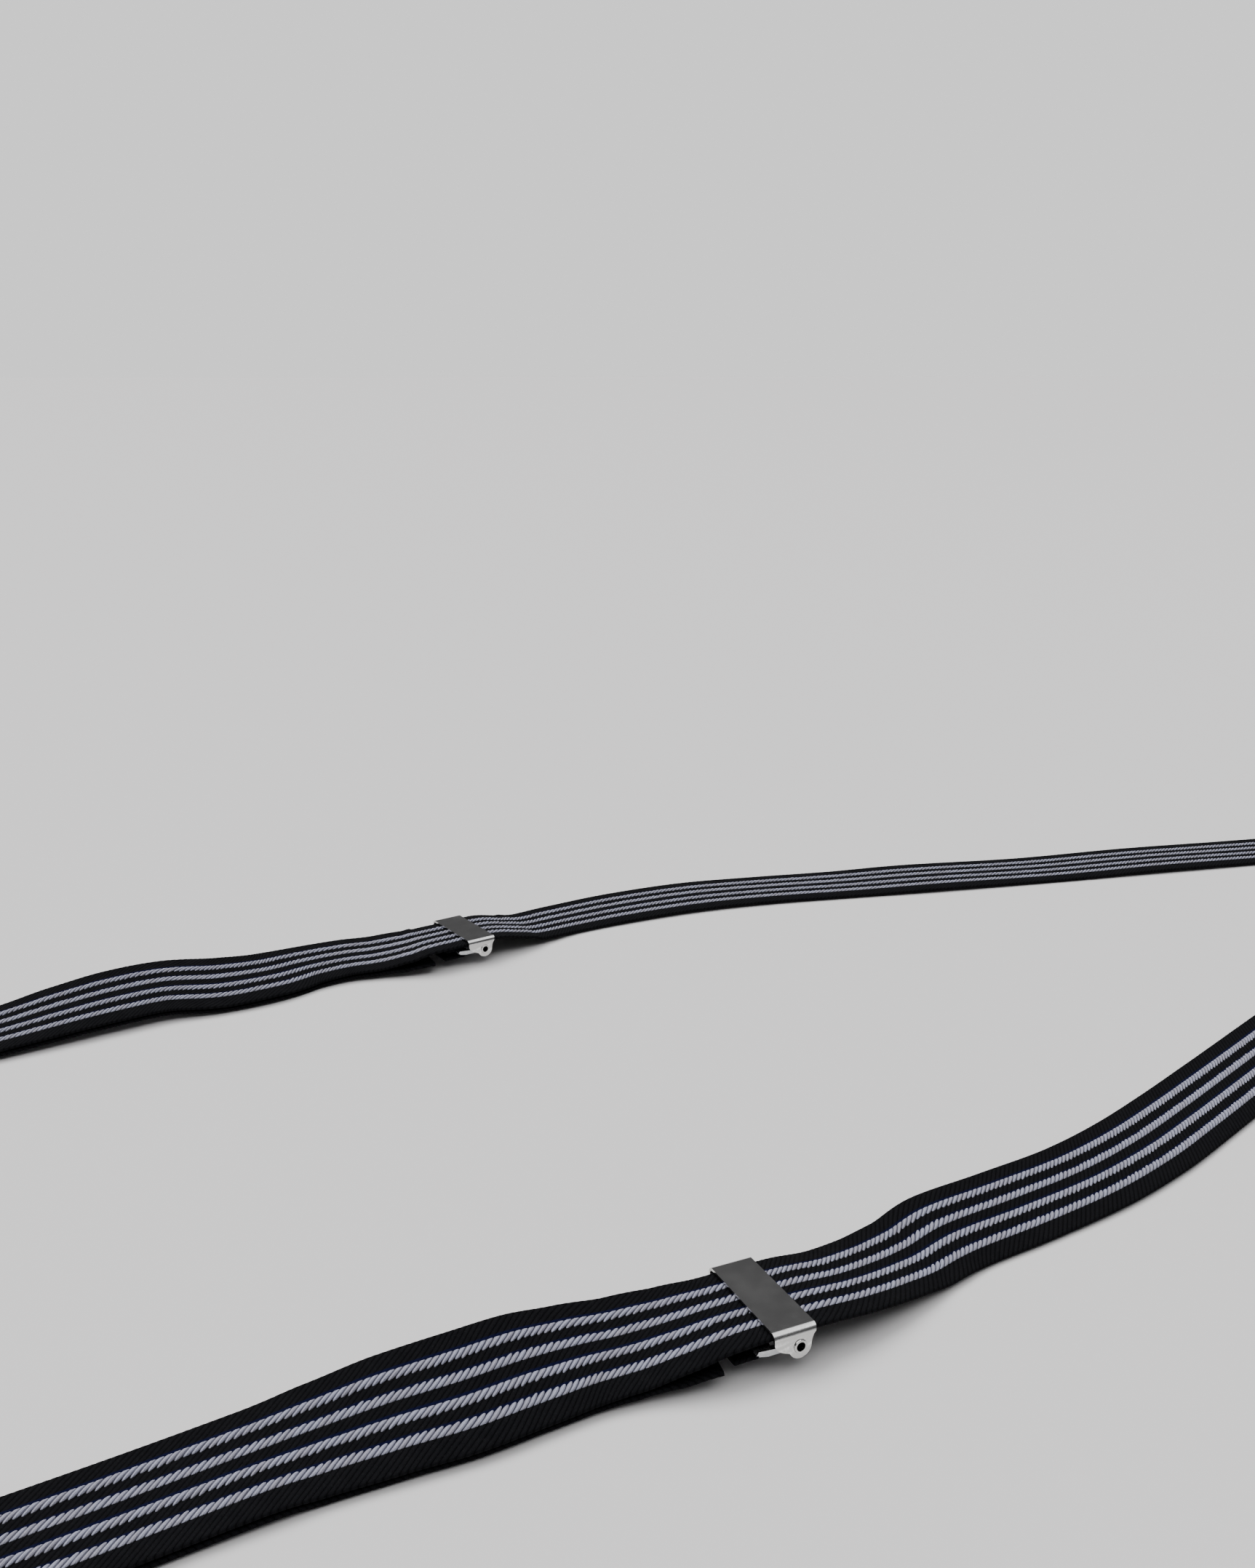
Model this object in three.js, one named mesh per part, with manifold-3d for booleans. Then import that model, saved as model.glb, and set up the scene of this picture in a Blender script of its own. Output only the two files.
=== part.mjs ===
// Clip-on Y-back suspenders laid out face up: two striped elastic front straps, each with a
// cam-lever adjuster, a leatherette back patch, one rear strap and three pinch clips.
// Millimetres, +X from the waist towards the shoulders, +Z up, the lowest faces on Z = 0.
import * as THREE from 'three';
import { mergeVertices } from 'three/addons/utils/BufferGeometryUtils.js';
import Module from 'manifold-3d';

const wasm = await Module();
wasm.setup();

// driving dimensions
const webbing = { width: 25, thickness: 1.1 };
const squeezeReach = 9;                        // along the strap, either side of an adjuster
const frameShift = { x: -246.0, y: -0.19 };    // puts the origin under the middle of the whole piece

const slide = {
  length: 27,            // across the strap
  width: 9.3,            // along the strap
  sheet: 0.5,
  top: 6.0,
  bendRadius: 1.4,
  skirt: -0.6,           // the folded blank's lower edge, before the ears are trimmed
  strapWidth: 24.6,      // the webbing is squeezed a little between the ears
  pivot: { x: 0.9, z: 2.35 },
  lobeRadius: 2.5,
  lobeStart: Math.PI * 1.12,
  holeRadius: 1.25,
  leftEarHeight: 2.2,
  rightEarHeight: 1.4,
  earTaper: 0.3,         // how far the ear's far side leans in below the bend
};
const rivet = { tube: 1.1, bore: 0.95, flange: 1.45, flangeThickness: 0.25, lift: 0.05, depth: 3.4 };
const lever = {
  width: 25.2,
  barrel: 1.42,
  eye: 1.15,
  plateTop: 2.3,
  plateThickness: 0.8,
  tail: -7.6,
  tailEdge: 0.35,        // the tail thins towards its end
  armTip: 0.5,
  armRise: 0.7,
  slotStart: -5.5,
  slotEnd: -2.4,
  slotWidth: 22.4,
  toothTip: 3.78,
  toothHalf: 0.3,
  toothPitch: 2.2,
  toothNotch: 1.0,
};
const strapEnd = {
  width: 21.8,
  lowerEnd: -11.8,
  upperEnd: -11.4,
  lowerHeight: 0.62,
  upperHeight: 3.1,
  turn: -5.75,
};

const clip = {
  sheet: 1.0,
  plateBottom: 1.6,
  headWidth: 30,
  jawWidth: 24,
  corner: 1.6,
  neckGap: 3,            // from the webbing slot to where the head narrows
  length: 36,
  barWidth: 1.5,
  slotLength: 3.0,
  slotWidth: 25.8,
  earX: 17,
  earLength: 6.4,
  earOutside: 11.2,
  earRounding: 0.72,
  pinHeight: 6.4,
  pinRadius: 0.8,
  pinHole: 1.1,
  pinHeadRadius: 1.5,
  pinHead: 0.5,
  lipHeight: 1.5,
  lipNotch: 0.9,
  lipNotchPitch: 2,
  droop: 1.9,            // degrees, so that the jaws rest on the surface
};
const cover = {
  width: 19.4,
  thickness: 0.9,
  lugOutside: 9.7,
  lugRadius: 2,
  lugSpread: 3.4,
  tailX: 5.2,
  noseX: 35.6,
  tailHeight: 10.2,
  humpHeight: 9.5,
  pressHeight: 8.8,
  slopeHeight: 7.4,
  slopeLength: 7,
  lipBottom: 4.3,
};
const grip = {
  width: 17,
  length: 9,
  start: 24.2,
  thickness: 0.9,
  rib: 0.5,
  ribPitch: 1.5,
  upperBottom: 4.75,
};
const spring = { wire: 0.6, radius: 1.36, turns: 5.5, pitch: 0.95 };
const patch = { noseX: 386, tailX: 452, lining: 1.0, faceBottom: 2.8, face: 1.2, armHalf: 31, tailHalf: 16 };
const returnEnd = { left: -14, right: 0.5, rear: 652 };      // where each strap's folded-back layer stops

const finish = {
  webbing: { color: 0x16171b, roughness: 0.92, metalness: 0 },
  chrome: { color: 0xb9bcc0, roughness: 0.16, metalness: 1 },
  steel: { color: 0x8f9296, roughness: 0.32, metalness: 1 },
  plastic: { color: 0xe4e2da, roughness: 0.55, metalness: 0 },
  leather: { color: 0x1a1817, roughness: 0.6, metalness: 0 },
};

// [x, y, height of the strap's middle, tilt in degrees (far edge up), spacing of the two layers]
const leftRoute = [
  [404, -15.5, 1.9, 0, 0],
  [388, -20, 1.9, 0, 0],
  [366, -26.5, 1.0, 0, 0],
  [325, -38.5, 0.9, 0, 0],
  [280, -50.5, 1.5, 1, 0],
  [235, -62.5, 0.8, 0, 0],
  [190, -74.5, 1.2, 0, 0],
  [160, -82, 0.9, 0, 0],
  [139, -87.3, 0.9, 0, 0],
  [117, -92.6, 1.2, 1, 0],
  [95, -96, 1.4, 2, 0],
  [72, -97.2, 1.7, 4, 0],
  [52, -97.5, 1.8, 4.5, 0],
  [40, -99.2, 1.2, -1, 0],
  [30, -101, 2.3, -5, 0],
  [19, -102.6, 4.15, -6.5, 0],
  [7, -103.15, 6.28, -5.3, 3.87],
  [-6, -102.26, 6.5, -5.3, 3.87],
  [-13, -101.7, 6.45, -5.3, 3.87],
  [-21, -100.2, 5.35, -1.5, 3.0],
  [-30, -98.1, 4.15, 4, 1.7],
  [-39, -96.8, 4.3, 9, 1.42],
  [-50, -96.9, 5.3, 14.5, 1.42],
  [-62, -96.9, 5.5, 15.5, 1.42],
  [-75, -95.2, 4.8, 12, 1.42],
  [-88, -93.6, 3.5, 6, 1.42],
  [-100, -92.9, 2.8, 1, 1.42],
  [-125, -92.7, 2.2, 0, 1.42],
  [-155, -93, 2.3, 0, 1.42],
  [-174, -93.3, 2.8, 0, 2.0],
  [-183, -93.4, 3.6, 0, 3.0],
  [-187.2, -93.4, 3.6, 0, 3.0],
];
const rightRoute = [
  [404, 15.5, 1.9, 0, 0],
  [388, 20, 1.9, 0, 0],
  [366, 26.5, 1.0, 0, 0],
  [325, 38.5, 0.9, 0, 0],
  [280, 51, 1.3, 0, 0],
  [235, 63.5, 0.8, 0, 0],
  [190, 76.5, 1.4, 1, 0],
  [160, 86, 0.9, 0, 0],
  [130, 95, 1.0, 0, 0],
  [103, 101, 1.3, 1, 0],
  [76, 104, 1.2, 1, 0],
  [54, 104.6, 0.9, 0, 0],
  [40, 102.4, 1.7, -2, 0],
  [33, 100.9, 3.5, -4, 0],
  [22.5, 99.5, 5.94, -4, 3.87],
  [9.5, 98.36, 6.07, -4, 3.87],
  [0.2, 97.6, 6.07, -4, 3.87],
  [-6, 98.8, 4.9, -2, 3.0],
  [-15, 101.6, 3.5, 1, 1.8],
  [-25, 103.8, 3.2, 3, 1.42],
  [-37, 103.4, 3.35, 5, 1.42],
  [-50, 100, 4.3, 9, 1.42],
  [-65, 99.8, 5.1, 13, 1.42],
  [-80, 102.4, 6.3, 13, 1.42],
  [-95, 101.9, 6.5, 13, 1.42],
  [-110, 101.1, 5.6, 10, 1.42],
  [-126, 100.5, 4.0, 5, 1.42],
  [-146, 100, 2.5, 0, 1.42],
  [-174, 99.7, 2.8, 0, 2.0],
  [-183, 99.6, 3.6, 0, 3.0],
  [-187.2, 99.6, 3.6, 0, 3.0],
];
const rearRoute = [
  [434, 0, 1.9, 0, 0],
  [450, 0.2, 1.9, 0, 0],
  [472, 0.8, 1.0, 0, 0],
  [510, 2.2, 1.6, 1, 0],
  [550, 2.8, 0.9, 0, 0],
  [590, 1.8, 1.5, -1, 0],
  [630, 0.8, 1.4, 0, 0],
  [650, 0.5, 2.3, 0, 1.42],
  [666, 0.2, 2.8, 0, 2.0],
  [675, 0, 3.6, 0, 3.0],
  [679.2, 0, 3.6, 0, 3.0],
];

const adjusters = {
  left: { x: -1.2, y: -103, lift: 1.97, tilt: -5.3, pitch: 1, turn: -3.9 },
  right: { x: 14.6, y: 98.5, lift: 1.56, tilt: -4, pitch: 0.6, turn: 5 },
};

const object = new THREE.Group();
object.position.set(frameShift.x, frameShift.y, 0);

function addPiece(parent, name, geometry, look) {
  const mesh = new THREE.Mesh(geometry, new THREE.MeshStandardMaterial(finish[look]));
  mesh.name = name;
  parent.add(mesh);
  return mesh;
}

function solid(geometry) {
  const bare = geometry.clone();
  bare.deleteAttribute('normal');
  bare.deleteAttribute('uv');
  const merged = mergeVertices(bare, 1e-4);
  return new wasm.Manifold(new wasm.Mesh({
    numProp: 3,
    vertProperties: new Float32Array(merged.attributes.position.array),
    triVerts: new Uint32Array(merged.index.array),
  }));
}

function geometryOf(body) {
  const mesh = body.getMesh();
  const geometry = new THREE.BufferGeometry();
  geometry.setAttribute('position', new THREE.BufferAttribute(new Float32Array(mesh.vertProperties), 3));
  geometry.setIndex(new THREE.BufferAttribute(new Uint32Array(mesh.triVerts), 1));
  return geometry;
}

function join(first, ...others) {
  return others.reduce((body, other) => body.add(solid(other)), solid(first));
}

function cut(body, ...tools) {
  return tools.reduce((rest, tool) => rest.subtract(solid(tool)), body);
}

function block(x0, x1, y0, y1, z0, z1) {
  const box = new THREE.BoxGeometry(x1 - x0, y1 - y0, z1 - z0);
  return box.translate((x0 + x1) / 2, (y0 + y1) / 2, (z0 + z1) / 2);
}

// a round bar lying along Y
function crossBar(radius, x, z, y0, y1, sides = 20) {
  const bar = new THREE.CylinderGeometry(radius, radius, y1 - y0, sides);
  return bar.translate(x, (y0 + y1) / 2, z);
}

// an XZ outline given as a Shape, drawn out along Y from y0 to y1
function sideProfile(shape, y0, y1, curveSegments = 8) {
  const body = new THREE.ExtrudeGeometry(shape, { depth: y1 - y0, bevelEnabled: false, curveSegments });
  return body.rotateX(Math.PI / 2).translate(0, y1, 0);
}

// an XY outline drawn up from z0 to z1
function planProfile(shape, z0, z1, curveSegments = 8) {
  const body = new THREE.ExtrudeGeometry(shape, { depth: z1 - z0, bevelEnabled: false, curveSegments });
  return body.translate(0, 0, z0);
}

// a path that keeps its own stations, each with the direction across the webbing
class WebbingPath extends THREE.Curve {
  constructor(stations) {
    super();
    this.stations = stations;
  }

  getSpacedPoints() {
    return this.stations.map((station) => station.centre.clone());
  }

  computeFrenetFrames() {
    const last = this.stations.length - 1;
    const frames = { tangents: [], normals: [], binormals: [] };
    this.stations.forEach((station, i) => {
      const before = this.stations[Math.max(i - 1, 0)].centre;
      const after = this.stations[Math.min(i + 1, last)].centre;
      const tangent = after.clone().sub(before).normalize();
      const across = station.across.clone();
      across.addScaledVector(tangent, -across.dot(tangent)).normalize();
      frames.tangents.push(tangent);
      frames.binormals.push(tangent.clone().cross(across));
      frames.normals.push(across.multiplyScalar(station.widthShare ?? 1));
    });
    return frames;
  }
}

function ribbon(stations, width) {
  const section = new THREE.Shape();
  const halfWidth = width / 2;
  const halfThickness = webbing.thickness / 2;
  section.moveTo(-halfWidth, -halfThickness);
  section.lineTo(halfWidth, -halfThickness);
  section.lineTo(halfWidth, halfThickness);
  section.lineTo(-halfWidth, halfThickness);
  section.closePath();
  const steps = stations.length - 1;
  const extrudePath = new WebbingPath(stations);
  return new THREE.ExtrudeGeometry(section, { steps, extrudePath, bevelEnabled: false });
}

// the upper layer follows the route's knots; the returning layer lies under it, past a round turn
function strapStations(route, returnEndX, slideX) {
  const centres = route.map(([x, y, z]) => new THREE.Vector3(x, y, z));
  const tilts = route.map(([, , , tilt, spacing]) => new THREE.Vector3(tilt, spacing, 0));
  const centreCurve = new THREE.CatmullRomCurve3(centres, false, 'catmullrom', 0.5);
  const tiltCurve = new THREE.CatmullRomCurve3(tilts, false, 'catmullrom', 0.3);
  const samples = (route.length - 1) * 2;
  const upper = [];
  for (let i = 0; i <= samples; i += 1) {
    const { x: tilt, y: spacing } = tiltCurve.getPoint(i / samples);
    const angle = THREE.MathUtils.degToRad(tilt);
    const across = new THREE.Vector3(0, Math.cos(angle), Math.sin(angle));
    const centre = centreCurve.getPoint(i / samples);
    const fromSlide = (centre.x - slideX) / squeezeReach;
    const widthShare = 1 - (1 - slide.strapWidth / webbing.width) * Math.exp(-(fromSlide ** 4));
    upper.push({ centre, across, spacing, widthShare });
  }
  const lastUpper = upper[upper.length - 1];
  const heading = Math.sign(lastUpper.centre.x - upper[0].centre.x);
  const radius = lastUpper.spacing / 2;
  const turnSteps = 8;
  const turn = [];
  for (let i = 1; i < turnSteps; i += 1) {
    const angle = Math.PI * i / turnSteps;
    const outwards = heading * Math.sin(angle);
    const offset = new THREE.Vector3(outwards, 0, Math.cos(angle) - 1).multiplyScalar(radius);
    turn.push({ centre: lastUpper.centre.clone().add(offset), across: lastUpper.across });
  }
  const lower = [];
  for (const station of [...upper].reverse()) {
    if (heading * (station.centre.x - returnEndX) < 0) break;
    const down = station.across.clone().cross(new THREE.Vector3(1, 0, 0)).multiplyScalar(station.spacing);
    lower.push({ centre: station.centre.clone().add(down), across: station.across });
  }
  return [...upper, ...turn, ...lower];
}

function addStrap(name, route, returnEndX, slideX) {
  addPiece(object, name, ribbon(strapStations(route, returnEndX, slideX), webbing.width), 'webbing');
}

// the webbing's sewn end: under the lever's bar, up through its slot and back over the bar
function strapEndStations() {
  const across = new THREE.Vector3(0, 1, 0);
  const radius = (strapEnd.upperHeight - strapEnd.lowerHeight) / 2;
  const middle = (strapEnd.upperHeight + strapEnd.lowerHeight) / 2;
  const stations = [{ centre: new THREE.Vector3(strapEnd.lowerEnd, 0, strapEnd.lowerHeight), across }];
  const turnSteps = 8;
  for (let i = 0; i <= turnSteps; i += 1) {
    const angle = Math.PI * (i / turnSteps - 0.5);
    const x = strapEnd.turn + radius * Math.cos(angle);
    const z = middle + radius * Math.sin(angle);
    stations.push({ centre: new THREE.Vector3(x, 0, z), across });
  }
  stations.push({ centre: new THREE.Vector3(strapEnd.upperEnd, 0, strapEnd.upperHeight), across });
  return stations;
}

// folded sheet plate: a flat face, rounded bends and an ear at each end with a pierced lobe
function slidePlate() {
  const half = slide.length / 2;
  const outer = slide.bendRadius;
  const inner = slide.bendRadius - slide.sheet;
  const insideHalf = half - slide.sheet;
  const section = new THREE.Shape();
  section.moveTo(-half, slide.skirt);
  section.lineTo(-half, slide.top - outer);
  section.absarc(-half + outer, slide.top - outer, outer, Math.PI, Math.PI / 2, true);
  section.lineTo(half - outer, slide.top);
  section.absarc(half - outer, slide.top - outer, outer, Math.PI / 2, 0, true);
  section.lineTo(half, slide.skirt);
  section.lineTo(insideHalf, slide.skirt);
  section.lineTo(insideHalf, slide.top - slide.sheet - inner);
  section.absarc(insideHalf - inner, slide.top - slide.sheet - inner, inner, 0, Math.PI / 2, false);
  section.lineTo(-insideHalf + inner, slide.top - slide.sheet);
  section.absarc(-insideHalf + inner, slide.top - slide.sheet - inner, inner, Math.PI / 2, Math.PI, false);
  section.lineTo(-insideHalf, slide.skirt);
  section.closePath();
  const drawnOut = { depth: slide.width, bevelEnabled: false, curveSegments: 6 };
  const folded = new THREE.ExtrudeGeometry(section, drawnOut);
  // section X becomes Y, section Y becomes Z, depth runs along X
  folded.rotateX(Math.PI / 2).rotateZ(Math.PI / 2).translate(-slide.width / 2, 0, 0);

  const { top, lobeRadius, lobeStart } = slide;
  const { x: px, z: pz } = slide.pivot;
  const edge = slide.width / 2;
  const leftFoot = top - slide.leftEarHeight;
  const rightFoot = top - slide.rightEarHeight;
  const lobeX = px + lobeRadius * Math.cos(lobeStart);
  const lobeZ = pz + lobeRadius * Math.sin(lobeStart);
  const side = new THREE.Shape();
  side.moveTo(-edge, top + 1);
  side.lineTo(-edge, leftFoot);
  side.quadraticCurveTo(-edge + 0.5, leftFoot - 1.7, lobeX, lobeZ);
  side.absarc(px, pz, lobeRadius, lobeStart, Math.PI * 2, false);
  side.quadraticCurveTo(px + lobeRadius + 0.2, pz + 1.6, edge - slide.earTaper, rightFoot);
  side.lineTo(edge, top - slide.earTaper);
  side.lineTo(edge, top + 1);
  side.closePath();
  const outline = sideProfile(side, -half - 1, half + 1, 10);
  const pierced = solid(folded).intersect(solid(outline));
  return geometryOf(cut(pierced, crossBar(slide.holeRadius, px, pz, -half - 1, half + 1)));
}

// toothed cam lever with a slot near its tail for the webbing's end
function slideLever() {
  const { x: px, z: pz } = slide.pivot;
  const half = lever.width / 2;
  const bottom = lever.plateTop - lever.plateThickness;
  const profile = new THREE.Shape();
  profile.moveTo(lever.tail, lever.plateTop - lever.tailEdge);
  profile.lineTo(lever.slotStart, bottom);
  profile.lineTo(lever.slotEnd, bottom);
  profile.lineTo(px, pz - lever.barrel);
  profile.absarc(px, pz, lever.barrel, -Math.PI / 2, Math.PI / 3, false);
  profile.lineTo(px + lever.toothHalf, lever.toothTip);
  profile.lineTo(px - lever.toothHalf, lever.toothTip);
  profile.lineTo(px - 1.3, lever.plateTop);
  profile.lineTo(lever.tail, lever.plateTop);
  profile.closePath();
  const arms = new THREE.Shape();
  arms.moveTo(lever.tail - lever.armTip, lever.plateTop);
  arms.lineTo(lever.slotEnd, bottom);
  arms.lineTo(lever.slotEnd, lever.plateTop + 0.2);
  arms.lineTo(lever.tail, lever.plateTop + lever.armRise);
  arms.closePath();
  const body = join(
    sideProfile(profile, -half, half, 8),
    sideProfile(arms, -half, -lever.slotWidth / 2),
    sideProfile(arms, lever.slotWidth / 2, half),
  );
  const slot = block(lever.slotStart, lever.slotEnd, -lever.slotWidth / 2, lever.slotWidth / 2, -1, 5);
  const eye = crossBar(lever.eye, px, pz, -half - 1, half + 1, 20);
  const notches = [];
  for (let y = -half + lever.toothPitch; y < half - 1; y += lever.toothPitch) {
    notches.push(block(px - 1.6, px + 1.2, y - lever.toothNotch / 2, y + lever.toothNotch / 2, pz + 1.25, 5));
  }
  return geometryOf(cut(body, slot, eye, ...notches));
}

// tubular rivet through one ear: flange outside the ear, tube through the ear and the lever's end
function slideRivet(sideSign) {
  const outside = slide.length / 2 + rivet.lift;
  const tubeEnd = slide.length / 2 - rivet.depth;
  const profile = [
    [rivet.bore, tubeEnd],
    [rivet.tube, tubeEnd],
    [rivet.tube, outside],
    [rivet.flange, outside],
    [rivet.flange - 0.1, outside + rivet.flangeThickness],
    [rivet.bore, outside + rivet.flangeThickness],
    [rivet.bore, tubeEnd],
  ].map(([r, y]) => new THREE.Vector2(r, y));
  const geometry = new THREE.LatheGeometry(profile, 16);
  if (sideSign < 0) geometry.rotateX(Math.PI);
  return geometry.translate(slide.pivot.x, 0, slide.pivot.z);
}

function addAdjuster(side, place) {
  const group = new THREE.Group();
  group.position.set(place.x, place.y, place.lift);
  const turns = [place.tilt, place.pitch, place.turn].map(THREE.MathUtils.degToRad);
  group.rotation.set(...turns, 'ZYX');
  object.add(group);
  addPiece(group, `${side}_slide_plate`, slidePlate(), 'chrome');
  addPiece(group, `${side}_slide_lever`, slideLever(), 'steel');
  addPiece(group, `${side}_slide_rivet_outer`, slideRivet(side === 'left' ? -1 : 1), 'chrome');
  addPiece(group, `${side}_slide_rivet_inner`, slideRivet(side === 'left' ? 1 : -1), 'chrome');
  addPiece(group, `${side}_strap_end`, ribbon(strapEndStations(), strapEnd.width), 'webbing');
}

// clip geometry is drawn with the strap bar at x = 0 and the jaws towards +x
function clipBase() {
  const head = clip.headWidth / 2;
  const jaw = clip.jawWidth / 2;
  const neckX = clip.barWidth + clip.slotLength + clip.neckGap;
  const plan = new THREE.Shape();
  plan.moveTo(0, -head + clip.corner);
  plan.quadraticCurveTo(0, -head, clip.corner, -head);
  plan.lineTo(neckX - 1, -head);
  plan.quadraticCurveTo(neckX + 2.2, -head, neckX + 3.4, -jaw);
  plan.lineTo(clip.length, -jaw);
  plan.lineTo(clip.length, jaw);
  plan.lineTo(neckX + 3.4, jaw);
  plan.quadraticCurveTo(neckX + 2.2, head, neckX - 1, head);
  plan.lineTo(clip.corner, head);
  plan.quadraticCurveTo(0, head, 0, head - clip.corner);
  plan.closePath();
  const floor = clip.plateBottom;
  const top = floor + clip.sheet;
  const ear = new THREE.Shape();
  const reach = clip.earLength / 2;
  const rounding = reach * clip.earRounding;
  ear.moveTo(clip.earX - reach, floor + 0.2);
  ear.lineTo(clip.earX + reach, floor + 0.2);
  ear.lineTo(clip.earX + rounding, clip.pinHeight);
  ear.absarc(clip.earX, clip.pinHeight, rounding, 0, Math.PI, false);
  ear.closePath();
  const outside = clip.earOutside;
  const body = join(
    planProfile(plan, floor, top),
    sideProfile(ear, -outside, -outside + clip.sheet),
    sideProfile(ear, outside - clip.sheet, outside),
    block(clip.length - 1, clip.length, -jaw, jaw, floor, top + clip.lipHeight),
  );
  const slotStart = clip.barWidth;
  const notchHalf = clip.lipNotch / 2;
  const notchBottom = top + clip.lipHeight - 0.8;
  const notches = [];
  for (let y = -jaw + clip.lipNotchPitch; y < jaw - 1; y += clip.lipNotchPitch) {
    notches.push(block(clip.length - 2, clip.length + 1, y - notchHalf, y + notchHalf, notchBottom, 9));
  }
  const slotHalf = clip.slotWidth / 2;
  return geometryOf(cut(
    body,
    block(slotStart, slotStart + clip.slotLength, -slotHalf, slotHalf, -1, 9),
    crossBar(clip.pinHole, clip.earX, clip.pinHeight, -20, 20),
    ...notches,
  ));
}

// pressing cover: raised thumb tail, lugs round the pin, nose that comes down on the base's lip
function clipCover() {
  const { thickness: t, tailX, noseX, tailHeight, humpHeight, pressHeight, slopeHeight, lipBottom } = cover;
  const half = cover.width / 2;
  const pinX = clip.earX;
  const slopeX = noseX - cover.slopeLength;
  const profile = new THREE.Shape();
  profile.moveTo(tailX, tailHeight);
  profile.quadraticCurveTo(tailX + 5, tailHeight - 0.2, pinX - 3, humpHeight);
  profile.quadraticCurveTo(pinX + 6, pressHeight, slopeX, slopeHeight);
  profile.lineTo(noseX - 1.4, slopeHeight - 0.4);
  profile.quadraticCurveTo(noseX, slopeHeight - 0.5, noseX, lipBottom + 1.3);
  profile.lineTo(noseX, lipBottom);
  profile.lineTo(noseX - t, lipBottom);
  profile.lineTo(noseX - t, lipBottom + 1.75);
  profile.lineTo(slopeX, slopeHeight - t);
  profile.quadraticCurveTo(pinX + 6, pressHeight - t, pinX - 3, humpHeight - t);
  profile.quadraticCurveTo(tailX + 5, tailHeight - 0.2 - t, tailX, tailHeight - t);
  profile.closePath();
  const lug = new THREE.Shape();
  lug.moveTo(pinX - cover.lugSpread, humpHeight - 0.5);
  lug.lineTo(pinX - cover.lugRadius, clip.pinHeight);
  lug.absarc(pinX, clip.pinHeight, cover.lugRadius, Math.PI, Math.PI * 2, false);
  lug.lineTo(pinX + cover.lugSpread, pressHeight - 0.6);
  lug.closePath();
  const outside = cover.lugOutside;
  const body = join(
    sideProfile(profile, -half, half, 6),
    sideProfile(lug, -outside, -outside + t),
    sideProfile(lug, outside - t, outside),
  );
  return geometryOf(cut(body, crossBar(clip.pinHole, pinX, clip.pinHeight, -20, 20)));
}

// ribbed plastic insert; the ribs stand on the side given by up = 1 or -1
function gripInsert(bottom, up) {
  const half = grip.width / 2;
  const base = block(grip.start, grip.start + grip.length, -half, half, bottom, bottom + grip.thickness);
  const ribs = [];
  const ribZ = up > 0 ? bottom + grip.thickness - 0.1 : bottom - grip.rib;
  for (let x = grip.start + 0.6; x < grip.start + grip.length - 0.7; x += grip.ribPitch) {
    ribs.push(block(x, x + 0.7, -half + 0.5, half - 0.5, ribZ, ribZ + grip.rib + 0.1));
  }
  return geometryOf(join(base, ...ribs));
}

function clipPin() {
  const half = clip.earOutside + 0.3;
  const end = half + clip.pinHead;
  const profile = [
    [0, -end],
    [clip.pinHeadRadius, -end],
    [clip.pinHeadRadius, -half],
    [clip.pinRadius, -half],
    [clip.pinRadius, half],
    [clip.pinHeadRadius, half],
    [clip.pinHeadRadius, end],
    [0, end],
  ].map(([r, y]) => new THREE.Vector2(r, y));
  return new THREE.LatheGeometry(profile, 16).translate(clip.earX, 0, clip.pinHeight);
}

// torsion spring round the pin, with one leg towards the base and one towards the cover
function clipSpring() {
  const points = [];
  const half = spring.turns * spring.pitch / 2;
  const { earX, pinHeight } = clip;
  points.push(new THREE.Vector3(earX + 6.2, -half - 0.2, 3.35));
  points.push(new THREE.Vector3(earX + 3.4, -half - 0.1, 3.9));
  const stepsPerTurn = 10;
  for (let i = 0; i <= spring.turns * stepsPerTurn; i += 1) {
    const angle = -Math.PI / 3 - 2 * Math.PI * i / stepsPerTurn;
    const x = earX + spring.radius * Math.cos(angle);
    const y = -half + spring.pitch * i / stepsPerTurn;
    points.push(new THREE.Vector3(x, y, pinHeight + spring.radius * Math.sin(angle)));
  }
  const coilEnd = points[points.length - 1];
  points.push(new THREE.Vector3(coilEnd.x - 2.2, half + 0.1, coilEnd.z + 0.35));
  points.push(new THREE.Vector3(coilEnd.x - 4.4, half + 0.2, coilEnd.z + 0.5));
  const section = new THREE.Shape();
  section.absarc(0, 0, spring.wire / 2, 0, Math.PI * 2, false);
  const extrudePath = new THREE.CatmullRomCurve3(points);
  const drawnOut = { steps: 76, curveSegments: 3, extrudePath, bevelEnabled: false };
  return new THREE.ExtrudeGeometry(section, drawnOut);
}

function addClip(name, x, y, turnDegrees) {
  const group = new THREE.Group();
  group.position.set(x, y, 0);
  const turns = [0, clip.droop, turnDegrees].map(THREE.MathUtils.degToRad);
  group.rotation.set(...turns, 'ZYX');
  object.add(group);
  addPiece(group, `${name}_clip_base`, clipBase(), 'chrome');
  addPiece(group, `${name}_clip_cover`, clipCover(), 'chrome');
  addPiece(group, `${name}_clip_pin`, clipPin(), 'steel');
  addPiece(group, `${name}_clip_spring`, clipSpring(), 'steel');
  addPiece(group, `${name}_clip_lower_grip`, gripInsert(clip.plateBottom + clip.sheet + 0.05, 1), 'plastic');
  addPiece(group, `${name}_clip_upper_grip`, gripInsert(grip.upperBottom, -1), 'plastic');
}

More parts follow.
